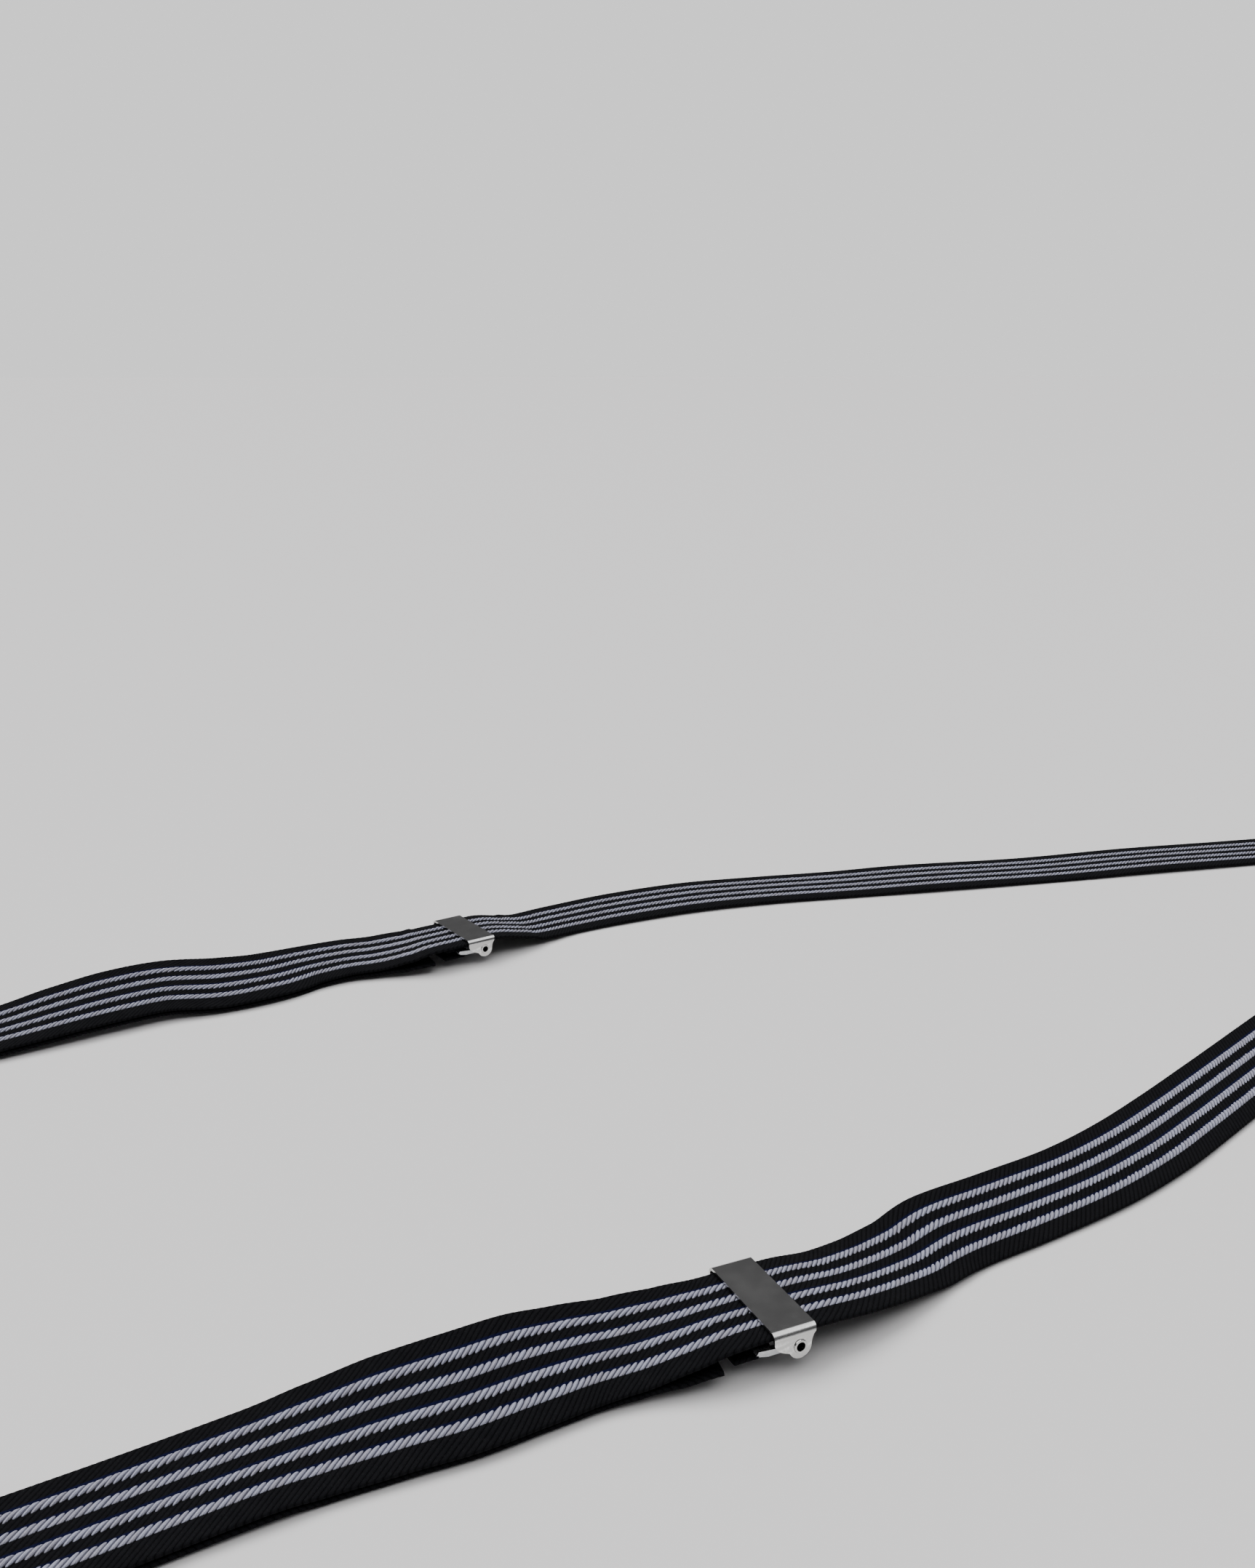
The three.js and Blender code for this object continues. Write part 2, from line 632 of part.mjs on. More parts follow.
// shield-shaped patch with two arms towards the front straps and one tail on the rear strap
function patchOutline(inset) {
  const nose = patch.noseX + inset;
  const tail = patch.tailX - inset;
  const arm = patch.armHalf - inset;
  const end = patch.tailHalf - inset;
  const shape = new THREE.Shape();
  shape.moveTo(nose - 2, arm);
  shape.quadraticCurveTo(nose + 4, 4, nose + 4, 0);
  shape.quadraticCurveTo(nose + 4, -4, nose - 2, -arm);
  shape.quadraticCurveTo(nose + 10, -arm + 1, nose + 22, -arm + 9);
  shape.quadraticCurveTo(nose + 34, -end - 2, nose + 44, -end);
  shape.lineTo(tail - 3, -end);
  shape.quadraticCurveTo(tail, -end, tail, -end + 3);
  shape.lineTo(tail, end - 3);
  shape.quadraticCurveTo(tail, end, tail - 3, end);
  shape.lineTo(nose + 44, end);
  shape.quadraticCurveTo(nose + 34, end + 2, nose + 22, arm - 9);
  shape.quadraticCurveTo(nose + 10, arm - 1, nose - 2, arm);
  return shape;
}

addStrap('left_front_strap', leftRoute, returnEnd.left, adjusters.left.x);
addStrap('right_front_strap', rightRoute, returnEnd.right, adjusters.right.x);
addStrap('rear_strap', rearRoute, returnEnd.rear, Infinity);
addAdjuster('left', adjusters.left);
addAdjuster('right', adjusters.right);
addClip('left', -186.2, -93.4, 180);
addClip('right', -186.2, 99.6, 180);
addClip('rear', 678.2, 0, 0);
const lining = planProfile(patchOutline(0.6), 0, patch.lining);
const face = planProfile(patchOutline(0), patch.faceBottom, patch.faceBottom + patch.face);
addPiece(object, 'back_patch_lining', lining, 'leather');
addPiece(object, 'back_patch_face', face, 'leather');

export default object;
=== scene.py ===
import math
import bmesh
import bpy
import numpy as np
from mathutils import Euler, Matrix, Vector


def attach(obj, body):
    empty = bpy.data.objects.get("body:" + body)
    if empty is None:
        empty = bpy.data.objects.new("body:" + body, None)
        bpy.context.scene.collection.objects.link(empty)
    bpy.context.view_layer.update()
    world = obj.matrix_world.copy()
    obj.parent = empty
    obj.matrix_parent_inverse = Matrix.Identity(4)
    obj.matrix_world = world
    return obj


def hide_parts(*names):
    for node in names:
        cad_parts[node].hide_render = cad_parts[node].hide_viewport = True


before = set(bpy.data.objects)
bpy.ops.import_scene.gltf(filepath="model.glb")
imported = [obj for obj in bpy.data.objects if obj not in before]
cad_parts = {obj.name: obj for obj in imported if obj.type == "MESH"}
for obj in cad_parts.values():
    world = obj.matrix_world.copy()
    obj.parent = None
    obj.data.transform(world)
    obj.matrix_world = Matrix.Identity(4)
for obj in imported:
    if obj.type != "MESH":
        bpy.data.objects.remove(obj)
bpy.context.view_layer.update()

mm = 0.001

# where the routes' own origin lies in the frame, and the two adjusters on it
layout = {
    "shift": (-246.0, -0.19),
    "left": {"x": -1.2, "y": -103.0, "lift": 1.97, "turns": (-5.3, 1.0, -3.9)},
    "right": {"x": 14.6, "y": 98.5, "lift": 1.56, "turns": (-4.0, 0.6, 5.0)},
}


def placed(points):
    points = np.asarray(points, float).copy()
    points[..., 0] += layout["shift"][0]
    points[..., 1] += layout["shift"][1]
    return points * mm


def addObject(name, data):
    made = bpy.data.objects.new(name, data)
    bpy.context.scene.collection.objects.link(made)
    return made


# camera: low over the nearer strap, looking across both adjusters
cameraSpot = {
    "x": -130.57, "y": -289.57, "height": 182.83,
    "heading": 28.0, "dip": 17.0,
    "lens": 30.9, "sensor": 36.0, "clip": (0.01, 200.0),
}


def makeCamera():
    spot = cameraSpot
    data = bpy.data.cameras.new("tableCamera")
    data.lens = spot["lens"]
    data.sensor_width = spot["sensor"]
    data.clip_start, data.clip_end = spot["clip"]
    camera = addObject("tableCamera", data)
    camera.location = placed([spot["x"], spot["y"], spot["height"]])
    camera.rotation_euler = (math.radians(90 - spot["dip"]), 0, math.radians(-spot["heading"]))
    bpy.context.scene.camera = camera


makeCamera()
print("camera placed")


def shaderGroup(name, inputs, outputs):
    group = bpy.data.node_groups.new(name, "ShaderNodeTree")
    for label, value in inputs.items():
        socket = group.interface.new_socket(label, in_out="INPUT", socket_type="NodeSocketFloat")
        socket.default_value = value
    for label in outputs:
        group.interface.new_socket(label, in_out="OUTPUT", socket_type="NodeSocketFloat")
    return group, group.nodes.new("NodeGroupInput").outputs, group.nodes.new("NodeGroupOutput").inputs


def addNode(tree, kind, **values):
    node = tree.nodes.new(kind)
    for label, value in values.items():
        setattr(node, label, value)
    return node


def feed(tree, socket, value):
    if isinstance(value, bpy.types.NodeSocket):
        tree.links.new(value, socket)
    else:
        socket.default_value = value


def calc(tree, operation, *values):
    node = addNode(tree, "ShaderNodeMath", operation=operation)
    for socket, value in zip(node.inputs, values):
        feed(tree, socket, value)
    return node.outputs[0]


def remap(tree, value, low, high, outLow=0.0, outHigh=1.0):
    node = addNode(tree, "ShaderNodeMapRange", interpolation_type="SMOOTHSTEP")
    ends = {"Value": value, "From Min": low, "From Max": high, "To Min": outLow, "To Max": outHigh}
    for label, entry in ends.items():
        feed(tree, node.inputs[label], entry)
    return node.outputs["Result"]


def tint(tree, share, first, second):
    node = addNode(tree, "ShaderNodeMix", data_type="RGBA")
    feed(tree, node.inputs["Factor"], share)
    for socket, value in ((node.inputs[6], first), (node.inputs[7], second)):
        feed(tree, socket, value if isinstance(value, bpy.types.NodeSocket) else (*value, 1.0))
    return node.outputs[2]


def noise(tree, vector, scale, detail=3.0, rough=0.5):
    node = addNode(tree, "ShaderNodeTexNoise")
    tree.links.new(vector, node.inputs["Vector"])
    for label, value in (("Scale", scale), ("Detail", detail), ("Roughness", rough)):
        feed(tree, node.inputs[label], value)
    return node.outputs["Fac"]


def zigzag(tree, value):
    # 1 at every whole number, 0 half way between
    doubled = calc(tree, "MULTIPLY", calc(tree, "FRACT", value), 2.0)
    return calc(tree, "ABSOLUTE", calc(tree, "SUBTRACT", doubled, 1.0))


def makeYarnRibs():
    # rounded ribs along the row coordinate, each spun from a few finer yarns; the groove and yarn-gap outputs
    # are masks for painted shade in the materials
    inputs = {"Row": 0.0, "Pitch": 1.4, "Yarns": 3.0, "Sharpness": 3.0}
    group, given, out = shaderGroup("yarnRibs", inputs, ["Height", "Shaded Groove", "Shaded Yarn Gap"])
    turns = calc(group, "DIVIDE", given["Row"], given["Pitch"])
    shadedGroove = calc(group, "POWER", zigzag(group, turns), given["Sharpness"])
    yarn = calc(group, "POWER", zigzag(group, calc(group, "MULTIPLY", turns, given["Yarns"])), 2.5)
    height = calc(group, "SUBTRACT", calc(group, "SUBTRACT", 1.0, shadedGroove), calc(group, "MULTIPLY", yarn, 0.3))
    group.links.new(height, out["Height"])
    group.links.new(shadedGroove, out["Shaded Groove"])
    group.links.new(yarn, out["Shaded Yarn Gap"])
    return group


def makeFineGrain():
    # two sizes of soft mottling over a fine grain, in the piece's own coordinates
    group, given, out = shaderGroup("fineGrain", {"Scale": 400.0, "Contrast": 1.0}, ["Grain", "Mottle"])
    where = addNode(group, "ShaderNodeTexCoord").outputs["Object"]
    fine = noise(group, where, given["Scale"], 4.0, 0.6)
    broad = noise(group, where, calc(group, "MULTIPLY", given["Scale"], 0.08), 3.0, 0.55)
    for value, label in ((fine, "Grain"), (broad, "Mottle")):
        centred = calc(group, "MULTIPLY", calc(group, "SUBTRACT", value, 0.5), given["Contrast"])
        group.links.new(calc(group, "ADD", centred, 0.5), out[label])
    return group


def makeEdgeWear():
    # lighter rubbed edges, broken up by grain
    group, given, out = shaderGroup("edgeWear", {"Start": 0.52, "End": 0.62, "Patchiness": 900.0}, ["Mask"])
    point = addNode(group, "ShaderNodeNewGeometry").outputs["Pointiness"]
    where = addNode(group, "ShaderNodeTexCoord").outputs["Object"]
    edge = remap(group, point, given["Start"], given["End"])
    broken = remap(group, noise(group, where, given["Patchiness"], 4.0, 0.65), 0.35, 0.6)
    group.links.new(calc(group, "MULTIPLY", edge, broken), out["Mask"])
    return group


def makeLint():
    # thin dust that settles on faces that look up
    group, given, out = shaderGroup("settledLint", {"Amount": 0.3, "Scale": 700.0}, ["Mask"])
    normal = addNode(group, "ShaderNodeNewGeometry").outputs["Normal"]
    split = addNode(group, "ShaderNodeSeparateXYZ")
    group.links.new(normal, split.inputs[0])
    upward = remap(group, split.outputs["Z"], 0.2, 0.9)
    where = addNode(group, "ShaderNodeTexCoord").outputs["Object"]
    specks = remap(group, noise(group, where, given["Scale"], 5.0, 0.7), 0.56, 0.72)
    settled = calc(group, "MULTIPLY", upward, specks)
    group.links.new(calc(group, "MULTIPLY", settled, given["Amount"]), out["Mask"])
    return group


effects = {
    "yarnRibs": makeYarnRibs(),
    "fineGrain": makeFineGrain(),
    "edgeWear": makeEdgeWear(),
    "settledLint": makeLint(),
}


def effect(tree, name, **values):
    node = addNode(tree, "ShaderNodeGroup", node_tree=effects[name])
    for label, value in values.items():
        feed(tree, node.inputs[label], value)
    return node.outputs


def startMaterial(name, **fixed):
    material = bpy.data.materials.new(name)
    material.use_nodes = True
    tree = material.node_tree
    surface = tree.nodes["Principled BSDF"]
    for label, value in fixed.items():
        surface.inputs[label.replace("_", " ")].default_value = value
    return material, tree, surface


def bumpInto(tree, surface, height, depth, strength=1.0):
    bump = addNode(tree, "ShaderNodeBump")
    bump.inputs["Strength"].default_value = strength
    bump.inputs["Distance"].default_value = depth
    tree.links.new(height, bump.inputs["Height"])
    tree.links.new(bump.outputs["Normal"], surface.inputs["Normal"])


def weaveCoordinates(tree):
    uv = addNode(tree, "ShaderNodeUVMap", uv_map="weave")
    split = addNode(tree, "ShaderNodeSeparateXYZ")
    tree.links.new(uv.outputs["UV"], split.inputs[0])
    return split.outputs["X"], split.outputs["Y"]


# millimetres: the black ground with four raised pale cords
weave = {
    "width": 25.0,
    "thickness": 1.1,
    "pitch": 1.43,          # along the strap, from one twist to the next
    "slant": 1.1,           # how far a rib leans along the strap for each millimetre across
    "cordCentres": (7.125, 2.375, -2.375, -7.125),
    "cordHalf": 0.93,
    "cordHeight": 0.46,
    "ribDepth": 0.07,
}
# colours of the black ground: crest is the yarn's own colour, the darker groove colour is painted shade in
# the grooves, the bluish one is a tint beside each cord
blackYarn = {
    "crest": (0.0065, 0.0066, 0.0078),
    "shadedGroove": (0.0012, 0.0012, 0.0016),
    "shade": (0.0030, 0.0042, 0.024),
}
# colours of the pale cords: crest and warm are the yarn's own tones, the dark groove colour is painted shade
# in the grooves between twists
paleYarn = {"crest": (0.40, 0.41, 0.51), "shadedGroove": (0.022, 0.022, 0.042), "warm": (0.36, 0.355, 0.42)}


def makeBlackWebbing():
    material, tree, surface = startMaterial("ribbedBlackWebbing", Roughness=0.9, Specular_IOR_Level=0.06)
    across, row = weaveCoordinates(tree)
    ribs = effect(tree, "yarnRibs", Row=row, Pitch=weave["pitch"], Yarns=4.0, Sharpness=2.6)
    grain = effect(tree, "fineGrain", Scale=3200.0, Contrast=1.3)
    lint = effect(tree, "settledLint", Amount=0.10, Scale=2600.0)
    # painted shade: the grooves between ribs and the gaps between yarns are painted darker, with the grain's
    # own uneven tone added
    dark = calc(tree, "ADD", ribs["Shaded Groove"], calc(tree, "MULTIPLY", ribs["Shaded Yarn Gap"], 0.25))
    dark = calc(tree, "ADD", dark, calc(tree, "SUBTRACT", grain["Grain"], 0.5))
    dark = calc(tree, "MINIMUM", calc(tree, "MAXIMUM", dark, 0.0), 1.0)
    base = tint(tree, dark, blackYarn["crest"], blackYarn["shadedGroove"])
    # a blue-black tint along the lower side of each cord
    spacing = weave["cordCentres"][0] - weave["cordCentres"][1]
    repeated = calc(tree, "MODULO", calc(tree, "ADD", across, 4.5 * spacing), spacing)
    fromCord = calc(tree, "SUBTRACT", repeated, 0.5 * spacing)
    below = remap(tree, fromCord, -1.75, -1.35)
    below = calc(tree, "MULTIPLY", below, remap(tree, fromCord, -1.1, -0.7, 1.0, 0.0))
    inside = remap(tree, calc(tree, "ABSOLUTE", across), 8.7, 9.0, 1.0, 0.0)
    base = tint(tree, calc(tree, "MULTIPLY", below, inside), base, blackYarn["shade"])
    base = tint(tree, lint["Mask"], base, (0.08, 0.08, 0.085))
    tree.links.new(base, surface.inputs["Base Color"])
    tree.links.new(remap(tree, grain["Mottle"], 0.3, 0.7, 0.82, 0.95), surface.inputs["Roughness"])
    rise = calc(tree, "ADD", ribs["Height"], calc(tree, "MULTIPLY", grain["Grain"], 0.5))
    bumpInto(tree, surface, rise, 0.00012)
    return material


def makePaleCord():
    material, tree, surface = startMaterial("twistedPaleCord", Roughness=0.6, Specular_IOR_Level=0.3)
    row = weaveCoordinates(tree)[1]
    ribs = effect(tree, "yarnRibs", Row=row, Pitch=weave["pitch"], Yarns=3.0, Sharpness=3.2)
    grain = effect(tree, "fineGrain", Scale=5200.0, Contrast=1.2)
    lobe = addNode(tree, "ShaderNodeTexWhiteNoise", noise_dimensions="1D")
    tree.links.new(calc(tree, "FLOOR", calc(tree, "DIVIDE", row, weave["pitch"])), lobe.inputs["W"])
    base = tint(tree, remap(tree, lobe.outputs["Value"], 0.0, 1.0), paleYarn["crest"], paleYarn["warm"])
    # painted shade: the grooves between twists and the gaps between yarns are painted darker, with the
    # grain's own uneven tone added
    dark = calc(tree, "MAXIMUM", ribs["Shaded Groove"], calc(tree, "MULTIPLY", ribs["Shaded Yarn Gap"], 0.42))
    dark = calc(tree, "ADD", dark, calc(tree, "MULTIPLY", calc(tree, "SUBTRACT", grain["Grain"], 0.5), 0.5))
    dark = calc(tree, "MINIMUM", calc(tree, "MAXIMUM", dark, 0.0), 1.0)
    base = tint(tree, dark, base, paleYarn["shadedGroove"])
    tree.links.new(base, surface.inputs["Base Color"])
    tree.links.new(remap(tree, grain["Grain"], 0.3, 0.7, 0.5, 0.72), surface.inputs["Roughness"])
    rise = calc(tree, "ADD", ribs["Height"], calc(tree, "MULTIPLY", grain["Grain"], 0.35))
    bumpInto(tree, surface, rise, 0.00014)
    return material


blackWebbing = makeBlackWebbing()
paleCord = makePaleCord()
print("webbing yarns mixed")

# millimetres: [x, y, height of the strap's middle, tilt in degrees (far edge up), spacing of the two layers]
routes = {
    "left": [
        (404, -15.5, 1.9, 0, 0), (388, -20, 1.9, 0, 0), (366, -26.5, 1.0, 0, 0), (325, -38.5, 0.9, 0, 0),
        (280, -50.5, 1.5, 1, 0), (235, -62.5, 0.8, 0, 0), (190, -74.5, 1.2, 0, 0), (160, -82, 0.9, 0, 0),
        (139, -87.3, 0.9, 0, 0), (117, -92.6, 1.2, 1, 0), (95, -96, 1.4, 2, 0), (72, -97.2, 1.7, 4, 0),
        (52, -97.5, 1.8, 4.5, 0), (40, -99.2, 1.2, -1, 0), (30, -101, 2.3, -5, 0),
        (19, -102.6, 4.15, -6.5, 0),
        (7, -103.15, 6.28, -5.3, 3.87), (-6, -102.26, 6.5, -5.3, 3.87), (-13, -101.7, 6.45, -5.3, 3.87),
        (-21, -100.2, 5.35, -1.5, 3.0), (-30, -98.1, 4.15, 4, 1.7), (-39, -96.8, 4.3, 9, 1.42),
        (-50, -96.9, 5.3, 14.5, 1.42), (-62, -96.9, 5.5, 15.5, 1.42), (-75, -95.2, 4.8, 12, 1.42),
        (-88, -93.6, 3.5, 6, 1.42), (-100, -92.9, 2.8, 1, 1.42), (-125, -92.7, 2.2, 0, 1.42),
        (-155, -93, 2.3, 0, 1.42), (-174, -93.3, 2.8, 0, 2.0), (-183, -93.4, 3.6, 0, 3.0),
        (-187.2, -93.4, 3.6, 0, 3.0),
    ],
    "right": [
        (404, 15.5, 1.9, 0, 0), (388, 20, 1.9, 0, 0), (366, 26.5, 1.0, 0, 0), (325, 38.5, 0.9, 0, 0),
        (280, 51, 1.3, 0, 0), (235, 63.5, 0.8, 0, 0), (190, 76.5, 1.4, 1, 0), (160, 86, 0.9, 0, 0),
        (130, 95, 1.0, 0, 0), (103, 101, 1.3, 1, 0), (76, 104, 1.2, 1, 0), (54, 104.6, 0.9, 0, 0),
        (40, 102.4, 1.7, -2, 0), (33, 100.9, 3.5, -4, 0), (22.5, 99.5, 5.94, -4, 3.87),
        (9.5, 98.36, 6.07, -4, 3.87), (0.2, 97.6, 6.07, -4, 3.87), (-6, 98.8, 4.9, -2, 3.0),
        (-15, 101.6, 3.5, 1, 1.8), (-25, 103.8, 3.2, 3, 1.42), (-37, 103.4, 3.35, 5, 1.42),
        (-50, 100, 4.3, 9, 1.42), (-65, 99.8, 5.1, 13, 1.42), (-80, 102.4, 6.3, 13, 1.42),
        (-95, 101.9, 6.5, 13, 1.42), (-110, 101.1, 5.6, 10, 1.42), (-126, 100.5, 4.0, 5, 1.42),
        (-146, 100, 2.5, 0, 1.42), (-174, 99.7, 2.8, 0, 2.0), (-183, 99.6, 3.6, 0, 3.0),
        (-187.2, 99.6, 3.6, 0, 3.0),
    ],
    "rear": [
        (434, 0, 1.9, 0, 0), (450, 0.2, 1.9, 0, 0), (472, 0.8, 1.0, 0, 0), (510, 2.2, 1.6, 1, 0),
        (550, 2.8, 0.9, 0, 0), (590, 1.8, 1.5, -1, 0), (630, 0.8, 1.4, 0, 0), (650, 0.5, 2.3, 0, 1.42),
        (666, 0.2, 2.8, 0, 2.0), (675, 0, 3.6, 0, 3.0), (679.2, 0, 3.6, 0, 3.0),
    ],
}
strapFacts = {
    "left": {"returnEnd": -14.0, "slideX": -1.2},
    "right": {"returnEnd": 0.5, "slideX": 14.6},
    "rear": {"returnEnd": 652.0, "slideX": None},
}
squeeze = {"share": 24.6 / 25.0, "reach": 9.0}    # the webbing narrows a little between a slide's ears


def throughKnots(knots, tension, perSpan):
    knots = np.asarray(knots, float)
    ends = np.vstack([2 * knots[0] - knots[1], knots, 2 * knots[-1] - knots[-2]])
    t = np.linspace(0, 1, perSpan, endpoint=False)[:, None]
    spans = []
    for i in range(1, len(ends) - 2):
        before, first, second, after = ends[i - 1:i + 3]
        leave, arrive = tension * (second - before), tension * (after - first)
        spans.append(first + leave * t + (3 * (second - first) - 2 * leave - arrive) * t ** 2
                     + (2 * (first - second) + leave + arrive) * t ** 3)
    spans.append(knots[-1:])
    return np.vstack(spans)


def evenPath(centre, across, share, step=0.2):
    gaps = np.linalg.norm(np.diff(centre, axis=0), axis=1)
    keep = np.r_[True, gaps > 1e-6]
    centre, across, share = centre[keep], across[keep], share[keep]
    run = np.r_[0, np.cumsum(np.linalg.norm(np.diff(centre, axis=0), axis=1))]
    along = np.arange(0, run[-1], step)
    along = np.r_[along, run[-1]]
    centre = np.column_stack([np.interp(along, run, centre[:, k]) for k in range(3)])
    across = np.column_stack([np.interp(along, run, across[:, k]) for k in range(3)])
    heading = np.gradient(centre, axis=0)
    kernel = np.ones(3) / 3
    padded = np.vstack([heading[:1], heading, heading[-1:]])
    heading = np.column_stack([np.convolve(padded[:, k], kernel, "valid") for k in range(3)])
    heading /= np.linalg.norm(heading, axis=1)[:, None]
    across -= heading * np.sum(across * heading, axis=1)[:, None]
    across /= np.linalg.norm(across, axis=1)[:, None]
    return {"along": along, "centre": centre, "across": across, "face": np.cross(across, heading),
            "share": np.interp(along, run, share), "length": along[-1]}


def strapPath(name):
    route, facts = np.asarray(routes[name], float), strapFacts[name]
    centre = throughKnots(route[:, :3], 0.5, 24)
    tiltAndGap = throughKnots(route[:, 3:], 0.3, 24)
    tilt, gap = np.radians(tiltAndGap[:, 0]), tiltAndGap[:, 1]
    zero = np.zeros_like(tilt)
    across = np.column_stack([zero, np.cos(tilt), np.sin(tilt)])
    down = np.column_stack([zero, np.sin(tilt), -np.cos(tilt)]) * gap[:, None]
    share = np.ones_like(tilt)
    if facts["slideX"] is not None:
        share -= (1 - squeeze["share"]) * np.exp(-((centre[:, 0] - facts["slideX"]) / squeeze["reach"]) ** 4)
    way = np.sign(centre[-1, 0] - centre[0, 0])
    bend = np.linspace(0, math.pi, 26)[1:-1]
    radius = gap[-1] / 2
    turn = centre[-1] + radius * np.column_stack([way * np.sin(bend), 0 * bend, np.cos(bend) - 1])
    under = way * (centre[:, 0] - facts["returnEnd"]) >= 0
    lower = (centre + down)[under][::-1]
    path = evenPath(np.vstack([centre, turn, lower]),
                    np.vstack([across, np.repeat(across[-1:], len(turn), 0), across[under][::-1]]),
                    np.r_[share, np.ones(len(turn)), share[under][::-1]])
    path["way"] = way
    upperRun = np.sum(np.linalg.norm(np.diff(centre, axis=0), axis=1))
    path["turn"] = upperRun + math.pi * radius / 2
    path["face"] *= -way
    path["centre"] = placed(path["centre"])
    return path


def readOff(path, key, along):
    columns = [np.interp(along, path["along"], path[key][:, k]) for k in range(3)]
    return np.stack(columns, -1)


# the point at a distance along the strap, a distance across it and a height over its middle
def onPath(path, along, sideways, rise):
    share = np.interp(along, path["along"], path["share"])
    side = (sideways * share * mm)[..., None] * readOff(path, "across", along)
    return readOff(path, "centre", along) + side + (rise * mm)[..., None] * readOff(path, "face", along)


def ringQuads(index):
    nextRing = np.roll(index, -1, axis=1)
    return np.stack([index[:-1], nextRing[:-1], nextRing[1:], index[1:]], -1).reshape(-1, 4).tolist()


def meshPiece(name, verts, faces, uv, material):
    mesh = bpy.data.meshes.new(name)
    mesh.from_pydata(verts.tolist(), [], faces)
    if uv is not None:
        corner = np.zeros(len(mesh.loops), np.int32)
        mesh.loops.foreach_get("vertex_index", corner)
        layer = mesh.uv_layers.new(name="weave")
        layer.data.foreach_set("uv", uv[corner].astype(np.float32).ravel())
    mesh.polygons.foreach_set("use_smooth", np.ones(len(mesh.polygons), bool))
    mesh.materials.append(material)
    return addObject(name, mesh)


def mergeClose(mesh, distance, sliver, outward=False):
    work = bmesh.new()
    work.from_mesh(mesh)
    bmesh.ops.remove_doubles(work, verts=work.verts, dist=distance)
    bmesh.ops.dissolve_degenerate(work, edges=work.edges, dist=sliver)
    if outward:
        bmesh.ops.recalc_face_normals(work, faces=work.faces)
    work.to_mesh(mesh)
    work.free()


def tubeMesh(name, points, uv, material):
    rows, ring = points.shape[:2]
    index = np.arange(rows * ring).reshape(rows, ring)
    faces = [index[0, ::-1].tolist(), *ringQuads(index), index[-1].tolist()]
    piece = meshPiece(name, points.reshape(-1, 3), faces, uv.reshape(-1, 2), material)
    mergeClose(piece.data, 2e-6, 1e-7)
    return piece


# millimetres: how the ground's edge is rounded and waved, and pinched inside its turn round a clip's bar
webbingEdge = {
    "columns": 21,
    "round": 0.45,
    "angles": (65, 30, 0, -30, -65),
    "faceDrop": 0.04,
    "rimDrop": 0.05,
    "wave": 0.06,
    "waveWithin": 0.4,
    "pinch": 0.1,
    "pinchReach": 3.0,
}


def webbingGround(name, path, width=weave["width"]):
    shape, half, thick = webbingEdge, width / 2, weave["thickness"] / 2
    flat = np.linspace(-half + shape["round"], half - shape["round"], shape["columns"])
    edge = np.radians(shape["angles"])
    rim = np.column_stack([half - shape["round"] + shape["round"] * np.cos(edge),
                           (thick - shape["rimDrop"]) * np.sin(edge)])
    top = np.column_stack([flat, np.full(len(flat), thick - shape["faceDrop"])])
    below = np.column_stack([flat[::-1], np.full(len(flat), -thick + shape["faceDrop"])])
    section = np.vstack([top, rim, below, rim[::-1] * (-1, 1)])
    pitch, lean = weave["pitch"], weave["slant"] * path["way"]
    reach = weave["slant"] * half
    rows = np.arange(-reach, path["length"] + reach + pitch / 3, pitch / 3)
    sideways = np.broadcast_to(section[:, 0], (len(rows), len(section)))
    along = np.clip(rows[:, None] + lean * sideways, 0, path["length"])
    row = along - lean * sideways
    fold = np.abs(2 * np.mod(row / pitch, 1.0) - 1)
    outward = np.sign(section[:, 1]) * np.abs(section[:, 1] / thick) ** 2
    rise = section[:, 1] - outward * weave["ribDepth"] * fold ** 2
    if path["turn"]:
        nearTurn = np.clip(2 - np.abs(along - path["turn"]) / shape["pinchReach"], 0, 1)
        rise = rise + shape["pinch"] * nearTurn * (section[:, 1] < 0)
    wavy = np.abs(sideways) > half - shape["waveWithin"]
    side = sideways + np.sign(sideways) * shape["wave"] * (0.5 - fold) * wavy
    points = onPath(path, along, side, rise)
    points[..., 2] = np.maximum(points[..., 2], 0.0)
    uv = np.stack([sideways, row], -1)
    return tubeMesh(name, points, uv, blackWebbing)


# how each twist of a pale cord is shaped, in millimetres where it isn't a share
cordTwist = {
    "rows": (0.0, 0.14, 0.32, 0.5, 0.68, 0.86),             # shares of one twist
    "sides": (-1.0, -0.74, -0.36, 0.05, 0.45, 0.8, 1.0),    # shares of the half width
    "heightVary": 0.10, "scallopVary": 0.25, "slipVary": 0.05,
    "upperBulge": (0.06, 0.34), "lowerBulge": (0.35, 0.05),  # alternate cords bulge on opposite sides
    "fullness": 2.4,
    "crown": 2.8,
    "lowest": 0.05,
    "secondYarn": 0.38, "secondReach": 0.10,
    "curl": 0.22,
    "sunk": 0.16,
    "root": 0.36,
    "tuck": 0.8,
    "strapEnds": (14.0, 1.5), "loopEnds": (1.0, 2.0),       # plain ground left at each end
}


